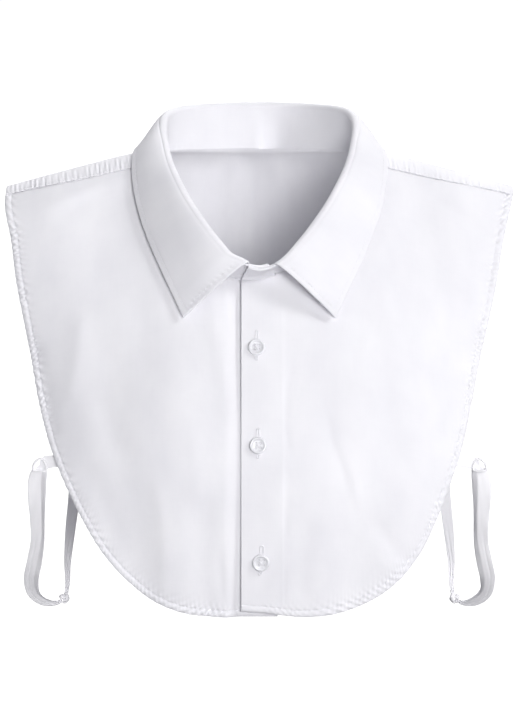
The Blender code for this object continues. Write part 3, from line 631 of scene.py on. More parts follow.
# fronts and back
panelForm = {
    "outline": (  # armhole and hem of one half: sideways, height
        (182, -36), (176, -64), (171, -95), (165.5, -120), (159.5, -147), (154, -175),
        (146.5, -205), (137, -230.5), (125, -257), (110.5, -282.5), (94.8, -300.2), (77, -313),
        (55.5, -321.3), (33, -324.2), (0, -324.8),
    ),
    "lean": (  # height, how far the worn outline leans to the wearer's right
        (-330, -1.4), (-299, -2.2), (-257, 0), (-230, 1.6), (-175, 3), (-120, 2.4), (-64, 1.6),
        (-20, 0.3),
    ),
    "leanFull": 60.0, "tip": 182.5, "tipBackRun": -8.0,
    "seamRunNeck": 19.5, "seamRunTip": 14.0, "seamBendStart": 105.0,
    "neckPoint": 66.8, "fan": 1.3,  # where the shoulder seam starts, and how the columns crowd toward the neck
    "lapHalf": 12.9, "hemLift": 5.0, "hemLiftEnd": 30.0, "placketInner": 17.0, "placketStep": 0.3,
    "wall": 0.6, "hemWall": 1.2, "hemWidth": 5.4, "hemRoll": 0.6, "hemGroove": 0.36, "hemStitch": 4.7,
    "seamUnder": 2.2,
    "columnsFront": 520, "columnsBack": 380, "rowsInside": 46,
    "hemRows": (0.0, 0.12, 0.4, 0.8, 1.3, 2.0, 2.8, 3.5, 4.1, 4.45, 4.7, 4.95, 5.3, 5.8, 6.6, 8.0, 10.0, 12.5,
                15.5),
    "edgeColumns": (0.0, 0.1, 0.25, 0.5, 0.9, 1.5, 2.4, 3.4),
}
frontFolds = {
    "broad": (  # from x, from z, to x, to z, half width, height outward: nearly as in the part's source
        (-152, -42, -100, -18, 11, 1), (-62, -165, -52, -300, 17, 1.5),
        (-104, -150, -86, -290, 20, -2.2), (-42, -250, -36, -318, 11, -1.4),
        (116, -42, 156, -84, 15, -1.5), (40, -150, 58, -215, 16, -1.2),
        (92, -205, 62, -300, 20, -1.8), (128, -120, 104, -240, 18, 1.4),
    ),
    "fine": (  # the smaller creases, put in from the photograph
        (-146, -36, -104, -21, 4, 0.3), (-140, -45, -112, -30, 5.5, -0.35),
        (-126, -122, -132, -168, 7, 0.7), (-112, -176, -100, -204, 8, -0.6),
        (-36, -104, -18, -186, 6, 0.55), (-26, -120, -16, -150, 3.5, -0.35),
        (-88, -96, -80, -150, 9, -0.5), (-70, -232, -66, -304, 6, 0.45),
        (-28, -282, -24, -316, 4.5, -0.6), (-46, -196, -44, -236, 6, 0.4),
        (-158, -140, -146, -196, 5, -0.5), (-120, -224, -104, -262, 8, -0.7),
        (22, -150, 17, -180, 3.6, -0.4), (18, -192, 21, -206, 3.2, -0.35),
        (20, -226, 18, -262, 3.6, -0.35), (17, -296, 13, -312, 3.6, -0.45),
        (48, -186, 62, -232, 5, -0.6), (56, -200, 70, -240, 4.5, 0.5),
        (88, -96, 101, -168, 8, 0.6), (128, -34, 158, -58, 6, -0.7),
        (70, -118, 62, -160, 7, -0.5), (112, -262, 92, -290, 6, 0.6),
        (84, -262, 104, -286, 6.5, -0.7), (140, -150, 132, -200, 6, -0.55),
        (34, -262, 30, -308, 6, -0.45), (152, -96, 146, -128, 5, 0.5),
    ),
}
backFolds = {
    "broad": (  # the hidden back gets similar soft folds, hung from the neck and the shoulders
        (-46, -60, -70, -230, 16, -0.9), (36, -70, 52, -250, 18, -0.9),
        (112, -110, 92, -280, 17, 0.9), (-118, -130, -100, -290, 18, 0.9),
        (2, -150, -6, -316, 20, 0.8),
    ),
    "fine": (
        (-19, -14, -22, -92, 6, -1.3), (-6, -12, -4, -70, 5, 0.9),
        (12, -14, 16, -84, 6.5, -1.2), (33, -18, 44, -70, 6, 0.8),
        (-40, -18, -52, -76, 6.5, 0.9), (-150, -48, -108, -30, 5, -0.5),
        (150, -52, 104, -34, 5.5, -0.5), (-84, -188, -74, -262, 7, 0.6),
        (70, -170, 78, -240, 7, -0.6), (24, -236, 18, -300, 7, -0.5),
        (-36, -250, -44, -308, 6, 0.5), (132, -150, 122, -206, 7, -0.6),
        (-138, -160, -128, -220, 7, -0.6),
    ),
}
puckers = {  # pull of the hem's stitching: wave lengths, height, slant and reach; then the same for the seam
    "length": 6.1, "finer": 3.4, "height": 0.56, "slant": 1.3, "reach": 6.0,
    "seamLength": 4.1, "seamFiner": 2.6, "seamHeight": 0.34, "seamReach": 17.0,
}


bandForm = {  # the strip along each shoulder seam
    "start": 70.0, "end": 182.3, "columns": 190, "rows": 22, "width": 22.0, "over": 0.4, "wall": 0.7,
    "raise": 0.25, "groove": 0.22, "stitchIn": 1.6, "edgeRows": (0.0, 0.1, 0.3, 0.7, 1.2, 1.6, 2.0, 2.6),
}


def foldHeight(x, z, rows):
    # each row adds height * exp(-(distance from its line / half width) squared), with round ends
    total = np.zeros_like(x)
    for fromX, fromZ, toX, toZ, halfWidth, height in rows:
        runX, runZ = toX - fromX, toZ - fromZ
        length = math.hypot(runX, runZ)
        along = ((x - fromX) * runX + (z - fromZ) * runZ) / length
        aside = ((x - fromX) * runZ - (z - fromZ) * runX) / length
        beyond = np.maximum(np.maximum(-along, along - length), 0.0)
        bend = 0.12 * halfWidth * np.sin(along / length * 5.0 + fromX)
        total += height * np.exp(-((aside + bend) ** 2 + beyond**2) / halfWidth**2)
    return total


def softWaves(x, z, side):
    # three slow sines of different lengths and ways, never in step
    return (0.20 * np.sin(x / 9.7 + z / 31.0 + side) + 0.16 * np.sin(x / 15.1 - z / 22.0 + 2.0 * side)
            + 0.12 * np.sin(x / 5.9 + z / 47.0 - side))


def neckChart(front, under):
    # neck edge of a front or half the back in (x, run), from the centre to the shoulder seam
    p = panelForm
    ends = (13.0, 3.0) if front else (0.0, 9.0)
    x, run = collarAt((0, 1), np.linspace(*ends, 1200))
    if front:
        share = smoothStep(-x, -collarForm["lapStart"], -collarForm["lapFull"]) if under else np.zeros_like(x)
        keep = (x > -p["lapHalf"]) & (run > p["seamRunNeck"] - p["seamUnder"])
        run = run - collarForm["lapNeckRaise"] * share - (0.0 if under else neckLiftAt(x))
    else:
        keep = run < p["seamRunNeck"] - 0.1
    return np.stack([x, run], axis=-1)[keep]


def outlineChart(front, side, lift):
    # armhole and hem of one side in (x, run), from the centre to the end of the shoulder seam
    p = panelForm
    rows = np.array(p["outline"])[::-1]
    lean = np.array(p["lean"])
    away = smoothStep(rows[:, 0], 0.0, p["leanFull"])
    rows[:, 0] -= side * away * splineAt(lean[:, 0], lean[:, 1], rows[:, 1])
    if front:
        rows = np.concatenate([[(-p["lapHalf"], rows[0, 1])], rows])
    lifted = lift * (1.0 - smoothStep(rows[:, 0], -p["lapHalf"], p["hemLiftEnd"]))
    chart = np.stack([rows[:, 0], runAt(rows[:, 0], rows[:, 1] + lifted, front)], axis=-1)
    if not front:
        chart = np.concatenate([chart, [(p["tip"], p["tipBackRun"])]])
    end = p["seamRunTip"] - (p["seamUnder"] if front else 0.0)
    chart = np.concatenate([chart, [(p["tip"], end)]])
    knots = lengthsAlong(chart)
    return splineAt(knots, chart, np.linspace(0.0, knots[-1], 1500))


def pointsAt(points, lengths, at):
    # points at the given lengths along a line
    return np.stack([np.interp(at, lengths, column) for column in points.T], axis=-1)


def pointsAtShare(points, share):
    # points at shares of a curve's length
    lengths = lengthsAlong(points)
    return pointsAt(points, lengths, share * lengths[-1])


def seamRunAt(x):
    # the shoulder seam's run at x
    p = panelForm
    return p["seamRunNeck"] + (p["seamRunTip"] - p["seamRunNeck"]) * smoothStep(
        np.abs(x), p["seamBendStart"], p["tip"])


def halfChart(front, side, lift, columns, openEdge):
    # straight lines from the neck to the outline in (x, run), with close rows at the hem and close columns at
    # the placket's edge; also gives the distance from the hem and the place along it
    p = panelForm
    neck = neckChart(front, front and side < 0)
    outline = outlineChart(front, side, lift)
    total = lengthsAlong(outline)[-1]
    close = np.array(p["edgeColumns"]) / total
    start = close if openEdge else np.zeros(1)
    share = np.concatenate([start, np.linspace(start[-1], 1.0, columns)[1:]])
    outer = pointsAtShare(outline, share)
    inner = pointsAtShare(neck, 1.0 - (1.0 - share) ** (1.0 / p["fan"]))
    straight = np.linalg.norm(outer - inner, axis=1)[:, None]
    hem = np.array(p["hemRows"])[None, ::-1]
    inside = np.linspace(0.0, 1.0, p["rowsInside"])[None, :-1] * (1.0 - hem[:, :1] / straight)
    rows = np.concatenate([inside, 1.0 - hem / straight], axis=1)
    chart = inner[:, None] + (outer - inner)[:, None] * rows[..., None]
    x, run = chart[..., 0], chart[..., 1]
    evenShare = np.clip((x - p["neckPoint"]) / (p["tip"] - p["neckPoint"]), 0.0, 1.0)
    even = p["seamRunNeck"] + (p["seamRunTip"] - p["seamRunNeck"]) * evenShare
    near = 1.0 - smoothStep(run, 16.0, 45.0) if front else smoothStep(run, -6.0, 12.0)
    chart[..., 1] = run + (seamRunAt(x) - even) * near
    fromHem = (1.0 - rows) * straight
    return chart, fromHem, share * total


def hemPuckers(fromHem, along):
    # slanted sine ripples, strongest about 5 mm in from the edge, uneven in strength and spacing
    k = puckers
    phase = along / k["length"] + k["slant"] * fromHem / k["length"] + 0.6 * np.sin(along / 11.0)
    finer = along / k["finer"] - 0.4 * fromHem / k["finer"] + 0.5 * np.sin(along / 7.0 + 2.0)
    strength = 0.6 + 0.4 * np.sin(along / 29.0 + 1.3) * np.sin(along / 11.0)
    envelope = bell(fromHem, 3.4, k["reach"])
    ripple = np.sin(2.0 * math.pi * phase) + 0.6 * np.sin(2.0 * math.pi * finer)
    return k["height"] * strength * envelope * ripple


def seamPuckers(run, seamRun, x):
    # short ripples across the shoulder seam, which fade away from it
    k = puckers
    gap = seamRun - run
    near = smoothStep(gap, -5.0, 0.3) * (1.0 - smoothStep(gap, 6.0, k["seamReach"]))
    strength = 0.6 + 0.4 * np.sin(x / 11.0) * np.sin(x / 4.7 + 1.0)
    ripple = np.sin(2.0 * math.pi * (x / k["seamLength"] + 0.35 * np.sin(x / 9.0)))
    finer = np.sin(2.0 * math.pi * (x / k["seamFiner"] + 0.05 * gap + 0.3 * np.sin(x / 6.0)))
    return k["seamHeight"] * near * strength * (ripple + 0.6 * finer)


def panelWall(name, chart, fromHem, fromEdge, height, side, material):
    # outer face is the figure moved out by height; the wall thickens to a folded hem and rounds off at free edges
    p = panelForm
    hem = 1.0 - smoothStep(fromHem, p["hemWidth"] - 0.35, p["hemWidth"] + 0.35)
    wall = p["wall"] + (p["hemWall"] - p["wall"]) * hem
    groove = p["hemGroove"] * bell(fromHem, p["hemStitch"], 0.55)
    roll = p["hemRoll"] * bell(fromHem, 2.2, 1.7)
    half = roundedHalf(wall / 2, np.minimum(fromHem, fromEdge))
    return figureWall(name, chart[..., 0], chart[..., 1], height + roll - groove - wall / 2, half, side, material)


def frontHeight(x, run, side):
    # folds and the placket's step: how far the cloth of one side stands out from the figure
    p = panelForm
    c = collarForm
    z = figureAt(x, run)[..., 2]
    share = smoothStep(-x, -c["lapStart"], -c["lapFull"])
    fade = smoothStep(run, 12.0, 40.0)
    folds = foldHeight(x * side, z, frontFolds["broad"]) * fade * (1.0 - share)
    fine = 1.35 * foldHeight(x * side, z, frontFolds["fine"]) + softWaves(x * side, z, side)
    if side < 0:
        return folds + fine * fade * (1.0 - share) - lapDepthAt(z) * share
    step = smoothStep(x, p["placketInner"] - 0.9, p["placketInner"] + 0.9) * (
        1.0 - smoothStep(x, p["placketInner"] + 6.0, p["placketInner"] + 30.0))
    pull = 0.12 * np.sin(z / 13.0) * bell(x, p["placketInner"], 6.0)
    return folds + fine * fade * smoothStep(x, -9.0, 6.0) + pull - p["placketStep"] * step


def makeFront(name, side, material):
    # the front's height plus hem and seam puckers; the wearer's left has side 1 and laps on top
    p = panelForm
    under = side < 0
    chart, fromHem, along = halfChart(True, side, 0.0 if under else p["hemLift"], p["columnsFront"], True)
    x, run = chart[..., 0], chart[..., 1]
    height = frontHeight(x, run, side)
    height += hemPuckers(fromHem, along[:, None] + 40.0 * side) * smoothStep(x, -10.0, 30.0)
    height += seamPuckers(run, seamRunAt(x), x * side)
    height -= 0.75 * (1.0 - smoothStep(run, seamRunAt(x) - 0.2, seamRunAt(x) + 1.0))
    return panelWall(name, chart, fromHem, x + p["lapHalf"], height, side, material)


def makeSeamBand(name, side, material):
    # the back's turned edge over the shoulder: a narrow strip on the figure, drawn into short uneven ridges
    # by its stitching, the most at the seam and none where it ends behind the ridge
    b = bandForm
    x = np.linspace(b["start"], b["end"], b["columns"])[:, None]
    gap = np.concatenate([b["edgeRows"], np.linspace(b["edgeRows"][-1], b["width"], b["rows"])[1:]])[None, :]
    run = seamRunAt(x) - gap + b["over"]
    ends = np.minimum(x - b["start"], b["end"] - x)
    near = 1.0 - smoothStep(gap, b["width"] - 6.0, b["width"])
    groove = b["groove"] * bell(gap, b["stitchIn"], 0.5)
    height = (b["raise"] * near + seamPuckers(run, seamRunAt(x), x * side) - groove) * smoothStep(ends, -1.0, 2.0)
    half = roundedHalf(b["wall"] / 2, np.minimum(gap + 0.02, ends + 0.02))
    band = figureWall(name, x, run, height, half, side, material)
    line = int(np.argmin(np.abs(gap[0] - b["stitchIn"])))
    return {"piece": band["piece"], "line": band["outer"][:, line], "normal": band["normal"][:, line]}


def makeBack(name, material):
    # both halves of the back side by side, one lean each
    p = panelForm
    halves = [halfChart(False, side, 0.0, p["columnsBack"], False) for side in (-1.0, 1.0)]
    mirror = np.array([-1.0, 1.0])
    chart = np.concatenate([halves[0][0][:0:-1] * mirror, halves[1][0]])
    fromHem = np.concatenate([halves[0][1][:0:-1], halves[1][1]])
    along = np.concatenate([-halves[0][2][:0:-1], halves[1][2]])
    x, run = chart[..., 0], chart[..., 1]
    z = figureAt(x, run)[..., 2]
    fade = smoothStep(-run, 2.0, 30.0)
    height = foldHeight(x, z, backFolds["broad"]) * fade + foldHeight(x, z, backFolds["fine"]) * smoothStep(
        -run, 9.0, 24.0)
    height += softWaves(x, z, 0.4) * fade * 0.8
    height += hemPuckers(fromHem, along[:, None] + 90.0)
    seam = seamRunAt(x)
    return panelWall(name, chart, fromHem, np.clip(seam - run, 0.0, None) + 0.05, height, 1.0, material)


panels = {}
for label, side in (("Left", 1.0), ("Right", -1.0)):
    panels["front" + label] = makeFront("front" + label, side, cloth["cottonPoplin"])
    finishPiece(panels["front" + label]["piece"], ["front_" + label.lower()])
panels["back"] = makeBack("backPanel", cloth["cottonPoplin"])
finishPiece(panels["back"]["piece"], ["back"])
bands = {}
for label, side in (("Left", 1.0), ("Right", -1.0)):
    bands[label] = makeSeamBand("shoulderSeam" + label, side, cloth["cottonPoplin"])
    finishPiece(bands[label]["piece"])
print("fronts, back and shoulder seams made")


# collar: stand and fall
collarGrid = {"columns": 300, "standRows": 26, "rollRows": 14, "runRows": 46}


def endColumns(count):
    # shares from -1 to 1, with the last few close together at both ends
    close = np.array([0.0, 0.0006, 0.0014, 0.0028, 0.005, 0.008, 0.012])
    return np.concatenate([-1.0 + close, np.linspace(-1.0, 1.0, count)[3:-3], 1.0 - close[::-1]])


def makeStand(name, material):
    # straight up from the neck seam to just below the roll; both ends lean back, the seams pucker a little, and
    # the top edge is rolled where the leaves leave it open at the centre front
    c = collarForm
    close = 1.0 - np.array([0.045, 0.03, 0.02, 0.012, 0.006, 0.0])
    rows = np.concatenate([np.linspace(0.0, 0.93, collarGrid["standRows"]), close])
    share = endColumns(collarGrid["columns"])
    end = lastStation + c["endLow"] + (c["endTop"] - c["endLow"]) * rows[None, :]
    q = share[:, None] * end
    under = underShare(q)
    crest, rise = rollCrestAt(q, under)
    low = neckSeamAt(q, under, 1.0) - rise * c["standDrop"]
    below = c["rollRadius"] + c["fallWall"] / 2 + c["seamGap"] - 0.2 + c["underDrop"] * under
    top = crest - rise * below[..., None]
    grid = low + (top - low) * rows[None, :, None]
    normals = gridNormals(grid)
    along = lengthsAlong(grid[:, 0])[:, None]
    up = np.linalg.norm(grid - grid[:, :1], axis=-1)
    down = up[:, -1:] - up
    ripple = c["standRipple"] * np.sin(along / 0.85 + np.sin(along / 9.0)) * (
        bell(up, 0.0, 3.5) + 0.5 * bell(down, 0.0, 2.5))
    ends = np.minimum(along, along[-1] - along)
    wave = c["standWave"] * np.sin(along / 12.0 + 0.6 * np.sin(along / 31.0)) * np.sin(math.pi * rows[None, :])
    calm = smoothStep(ends, 6.0, 30.0)
    bare = smoothStep(np.abs(q), lastStation - 1.6, lastStation - 0.5)
    gather = c["standGather"] * bare * np.sin(up * 1.5 + along * 0.42) * bell(up, 3.0, 3.2)
    bead = c["standBead"] * bare * (bell(down, 1.1, 1.0) + bell(up, 0.0, 1.8))
    half = roundedHalf(c["standWall"] / 2 + bead, np.broadcast_to(ends, up.shape))
    half = half * (1.0 + bare * (roundedHalf(1.0, down) - 1.0))
    groove = c["standGroove"] * (bell(up, 2.0, 0.4) + bell(down, 1.6, 0.4)) * (1.0 - bare)
    shift = normals * ((ripple + wave) * calm + gather)[..., None]
    outer = grid + shift + normals * (half - groove)[..., None]
    inner = grid + shift - normals * (half - groove)[..., None]
    piece = addWall(name, outer, inner, material, clothUv(along - 200.0, up))
    return {"piece": piece, "outer": outer, "inner": inner, "normal": normals, "up": up, "down": down}


def makeFall(name, material):
    # up out of the stand, over in a round roll, then nearly straight to the leaf's edge with a slight crown;
    # the edges are turned and topstitched, so they swell a little outside a stitched groove
    c = collarForm
    share = endColumns(collarGrid["columns"])
    start = np.where(share < 0.0, c["leafStartRight"], c["leafStartLeft"])
    q = share * (lastStation - start)
    under = underShare(q)
    crest, rise = rollCrestAt(q, under)
    foot = crest - rise * (c["rollRadius"] + c["fallWall"] / 2)
    edge = np.stack(collarAt((5, 6, 7), share * (lastStation - 1.0)), axis=-1)
    reach = edge - foot
    up = np.sum(reach * rise, axis=1)
    sideways = reach - rise * up[:, None]
    out = np.linalg.norm(sideways, axis=1)
    sideways = sideways / out[:, None]
    centreDistance = np.hypot(out - c["rollRadius"], up)
    straight = np.sqrt(centreDistance**2 - c["rollRadius"] ** 2)
    turn = np.arctan2(out - c["rollRadius"], up) + np.arctan2(c["rollRadius"], straight)
    part = np.linspace(0.0, 1.0, collarGrid["rollRows"])[None, :, None]
    angle = turn[:, None, None] * part
    roll = foot[:, None] + c["rollRadius"] * (
        np.sin(angle) * rise[:, None] + (1.0 - np.cos(angle)) * sideways[:, None])
    leave = roll[:, -1:]
    outside = np.sin(turn)[:, None] * rise - np.cos(turn)[:, None] * sideways
    close = 1.0 - np.array([0.0, 0.002, 0.006, 0.012, 0.022, 0.035, 0.05, 0.07])[::-1]
    part = np.concatenate([np.linspace(0.0, 0.92, collarGrid["runRows"])[1:], close])[None, :, None]
    fullness = 0.35 + 0.65 * smoothStep(np.abs(q), 1.0, 4.0)
    crown = c["crown"] * part ** c["crownPower"] * (1.0 - part) * fullness[:, None, None]
    run = leave + (edge[:, None] - leave) * part + outside[:, None] * crown
    grid = np.concatenate([(foot - rise * c["footDrop"])[:, None], roll, run], axis=1)
    normals = gridNormals(grid)
    normals[:, 0] = unit(np.cross(np.gradient(grid[:, 0], axis=0), rise))
    steps = np.linalg.norm(np.diff(grid, axis=1), axis=-1)
    down = np.concatenate([np.zeros((len(grid), 1)), np.cumsum(steps, axis=1)], axis=1)
    fromEdge = down[:, -1:] - down
    aside = np.linalg.norm(np.diff(grid, axis=0), axis=-1)
    aside = np.concatenate([np.zeros((1, grid.shape[1])), np.cumsum(aside, axis=0)])
    fromFront = np.minimum(aside, aside[-1:] - aside)
    free = np.minimum(fromEdge, fromFront)
    bead = c["leafBead"] * bell(free, 1.2, 1.0) - c["leafGroove"] * bell(free, c["stitchIn"], 0.55)
    along = np.where(fromFront < fromEdge, down, aside)
    ripple = c["leafRipple"] * (1.0 + 0.9 * (fromFront < fromEdge)) * np.sin(
        2.0 * math.pi * along / 4.0 + np.sin(along / 8.0)) * bell(free, 3.4, 2.2)
    slack = c["leafSlack"] * np.sin(aside / 19.0 + down / 11.0) * np.sin(math.pi * np.clip(fromEdge / 28.0, 0.0, 1.0))
    half = roundedHalf(c["fallWall"] / 2, free)
    calm = smoothStep(down, 6.0, 12.0)
    swell = bead * smoothStep(free, 0.0, 0.8) * calm
    shift = normals * ((ripple + slack) * calm)[..., None]
    outer = grid + normals * (half + swell)[..., None] + shift
    inner = grid - normals * half[..., None] + shift
    piece = addWall(name, outer, inner, material, clothUv(aside[:, :1] - 250.0, down))
    return {"piece": piece, "outer": outer, "inner": inner, "normal": normals, "down": down,
            "fromEdge": fromEdge, "fromFront": fromFront}


stand = makeStand("collarStand", cloth["collarCotton"])
finishPiece(stand["piece"], ["collar_stand"])
fall = makeFall("collarFall", cloth["collarCotton"])
finishPiece(fall["piece"], ["collar_fall"])
print("collar stand and fall made")

# stitching
stitches = {
    "length": 2.0, "pitch": 2.8, "halfWidth": 0.3, "halfHeight": 0.2, "sides": 6,
    "standLow": 2.0, "standTop": 1.6, "hemSkip": 3.0, "bandSkip": 7.5, "edgeSkip": 4.4, "frontSkip": 3.6,
    "standSkip": 22.0,
    "rings": (-1.0, -0.72, 0.72, 1.0), "swell": (0.35, 1.0, 1.0, 0.35),
}


def levelLine(values, level, *grids):
    # along the second axis, where values fall through the level: each grid mixed between the two nearest points
    low = np.clip(np.sum(values > level, axis=1) - 1, 0, values.shape[1] - 2)[:, None]
    before = np.take_along_axis(values, low, 1)
    after = np.take_along_axis(values, low + 1, 1)
    mix = np.clip((before - level) / np.maximum(before - after, 1e-6), 0.0, 1.0)[..., None]
    return [(np.take_along_axis(grid, low[..., None], 1) * (1.0 - mix)
             + np.take_along_axis(grid, low[..., None] + 1, 1) * mix)[:, 0] for grid in grids]


def stitchRow(path, normals, skip):
    # small closed capsules at an even pitch: rings of six points along each stitch, each end shut by two quads
    s = stitches
    sides = s["sides"]
    lengths = lengthsAlong(path)
    count = int((lengths[-1] - 2.0 * skip - s["length"]) / s["pitch"])
    at = skip + s["length"] / 2 + (np.arange(count) + 0.5) * s["pitch"]
    place = pointsAt(path, lengths, at)
    ahead = unit(pointsAt(path, lengths, at + s["length"] / 2) - place)
    up = pointsAt(normals, lengths, at)
    up = unit(up - ahead * np.sum(up * ahead, axis=1)[:, None])
    aside = np.cross(ahead, up)
    angle = circle(sides)
    rings, swell = np.array(s["rings"])[:, None], np.array(s["swell"])[:, None]
    forward = np.broadcast_to(rings * s["length"] / 2, (len(rings), sides)).ravel()
    level = (swell * np.cos(angle) * s["halfWidth"]).ravel()
    high = (swell * np.sin(angle) * s["halfHeight"]).ravel()
    points = place[:, None] + ahead[:, None] * forward[:, None] + aside[:, None] * level[:, None]
    points = points + up[:, None] * high[:, None]
    last = len(forward) - sides
    ends = np.array([[3, 2, 1, 0], [5, 4, 3, 0], [last, last + 1, last + 2, last + 3],
                     [last, last + 3, last + 4, last + 5]])
    quads = np.concatenate([ringQuads(len(rings), sides, False), ends])
    quads = (quads[None] + (np.arange(count) * len(forward))[:, None, None]).reshape(-1, 4)
    uv = clothUv(np.repeat(at - 250.0, len(forward)), np.tile(level, count))
    return points.reshape(-1, 3), quads, uv


def addStitches(name, rows):
    # all rows of one cloth joined into one piece
    points, quads, uv = joinParts([stitchRow(*row) for row in rows])
    points, quads = faceOut(points, quads)
    return finishPiece(addPiece(name, points, quads, cloth["sewingThread"], uv))


def hemLines(panel):
    # the stitched line near the hem on both faces of a panel
    row = -1 - panelForm["hemRows"].index(panelForm["hemStitch"])
    normal = panel["normal"][:, row]
    return [(panel["outer"][:, row], normal, stitches["hemSkip"]),
            (panel["inner"][:, row], -normal, stitches["hemSkip"])]


for label in ("Left", "Right"):
    addStitches("hemStitchesFront" + label, hemLines(panels["front" + label]))
addStitches("hemStitchesBack", hemLines(panels["back"])
            + [(band["line"], band["normal"], stitches["bandSkip"]) for band in bands.values()])

edgeLine = levelLine(fall["fromEdge"], collarForm["stitchIn"], fall["outer"], fall["normal"])
fromFront = fall["fromFront"].T
outer, normal = (fall[key].transpose(1, 0, 2) for key in ("outer", "normal"))
half = fromFront.shape[1] // 2
outside = collarGrid["rollRows"] + 1  # the first row past the roll
frontLines = []
for columns in (slice(half, None, -1), slice(half, None)):
    line = levelLine(fromFront[:, columns], collarForm["stitchIn"], outer[:, columns], normal[:, columns])
    frontLines.append((line[0][outside:], line[1][outside:], stitches["frontSkip"]))
addStitches("topStitchesFall", [(*edgeLine, stitches["edgeSkip"]), *frontLines])

standLines = [levelLine(-stand["up"], -stitches["standLow"], stand["inner"], -stand["normal"]),
              levelLine(stand["down"], stitches["standTop"], stand["inner"], -stand["normal"])]
addStitches("seamStitchesStand", [(*line, stitches["standSkip"]) for line in standLines])
print("stitching made")
# buttons and buttonholes on the placket
buttonForm = {
    "places": ((-2.0, -136.0), (-1.0, -203.0), (1.0, -285.0)),
    "profile": (  # radius, height
        (0.02, 1.28), (1.2, 1.28), (2.6, 1.32), (3.7, 1.45), (4.25, 1.95), (4.7, 2.3), (5.2, 2.33), (5.7, 2.05),
        (6, 1.45), (5.8, 0.85), (5.2, 0.35), (3.6, 0.1), (0.02, 0.1),
    ),
    "innerRings": 46, "outerRings": 40, "around": 132, "standOff": 0.35,
    "holeOffset": 1.6, "holeRadius": 0.84, "holeDepth": 1.05,
    "threadRadius": 0.22, "threadGap": 0.4, "threadRise": 0.28, "threadSecond": 0.34, "threadSteps": 25,
    "threadSides": 8,
}
holeForm = {
    "above": 11.8, "below": 8.4, "halfWidth": (1.0, 1.0, 1.35), "tube": 0.4, "ribs": 0.13, "ribPitch": 0.8,
    "steps": 420, "tilt": (0.02, 0.0, 0.07), "sides": 9,
}


def placketPlace(x, z):
    # point and outward direction on the upper front at x and height z
    run = runAt(x, z, True)
    normal = outwardAt(x, run)
    return figureAt(x, run) + normal * frontHeight(x, run, 1.0)[..., None], normal


def makeButton(name, x, z):
    # the profile turned round the middle, with four round wells sunk into its face
    b = buttonForm
    profile = np.array(b["profile"])
    lengths = lengthsAlong(profile)
    face = int(np.argmax(profile[:, 0] > 3.0))
    at = np.concatenate([np.linspace(0.0, lengths[face], b["innerRings"]),
                         np.linspace(lengths[face], lengths[-1], b["outerRings"])[1:]])
    radius, high = (splineAt(lengths, profile[:, k], at) for k in range(2))
    radius = np.maximum(radius, 0.02)
    angle = circle(b["around"])
    across, up = radius[:, None] * np.cos(angle), radius[:, None] * np.sin(angle)
    distance = np.hypot(np.abs(across) - b["holeOffset"], np.abs(up) - b["holeOffset"])
    well = (1.0 - smoothStep(distance, b["holeRadius"] - 0.14, b["holeRadius"] + 0.14)) * (at < lengths[face])[:, None]
    local = np.stack([across, up, high[:, None] - b["holeDepth"] * well], axis=-1).reshape(-1, 3)
    place, normal = placketPlace(np.array(x), np.array(z))
    points = local @ turnedTo(normal).T + place + normal * b["standOff"]
    points, quads = faceOut(points, ringQuads(len(at), b["around"], False))
    rim = np.arange(b["around"])
    last = (len(at) - 1) * b["around"] + rim
    third = b["around"] // 3
    outward = np.dot(np.cross(points[1] - points[0], points[third] - points[0]), normal) > 0.0
    caps = [rim if outward else rim[::-1], last[::-1] if outward else last]
    return addPiece(name, points, quads, buttonResin, sharp=50.0, caps=caps), points, place, normal


def threadPart(fromHole, toHole, shift, lift, place, normal):
    # one strand: a tube that rises out of one well, arches over the face and dives into the opposite well
    b = buttonForm
    t = np.linspace(-1.0, 1.0, b["threadSteps"])
    middle = (np.array(fromHole) + np.array(toHole)) / 2
    half = (np.array(toHole) - np.array(fromHole)) / 2
    aside = np.array([-half[1], half[0]]) / np.hypot(*half)
    flat = (middle + aside * shift)[None] + half[None] * t[:, None]
    dive = 1.28 + b["threadRise"] * (1.0 - t**2) + lift - 0.9 * smoothStep(np.abs(t), 0.8, 1.0)
    path = np.concatenate([flat, dive[:, None]], axis=1)
    grid = tubeGrid(path, b["threadRadius"] * np.where(np.abs(t) > 0.99, 0.1, 1.0), b["threadSides"], False)
    points, quads, uv = ringPart(grid, False, t * 2.0, 0.2)
    return points @ turnedTo(normal).T + place + normal * b["standOff"], quads, uv


def makeButtonThread(name, place, normal):
    # two strands each way, crossed
    b = buttonForm
    o, g = b["holeOffset"], b["threadGap"] / 2
    parts = [threadPart((-o, -o), (o, o), shift, 0.0, place, normal) for shift in (-g, g)]
    parts += [threadPart((-o, o), (o, -o), shift, b["threadSecond"], place, normal) for shift in (-g, g)]
    points, quads, uv = joinParts(parts)
    points, quads = faceOut(points, quads)
    rim = np.arange(b["threadSides"])
    last = (b["threadSteps"] - 1) * b["threadSides"]
    caps = []
    for first in np.arange(len(parts)) * len(parts[0][0]):
        caps += [first + rim[::-1], first + last + rim]
    return finishPiece(addPiece(name, points, quads, cloth["sewingThread"], uv, caps=caps))


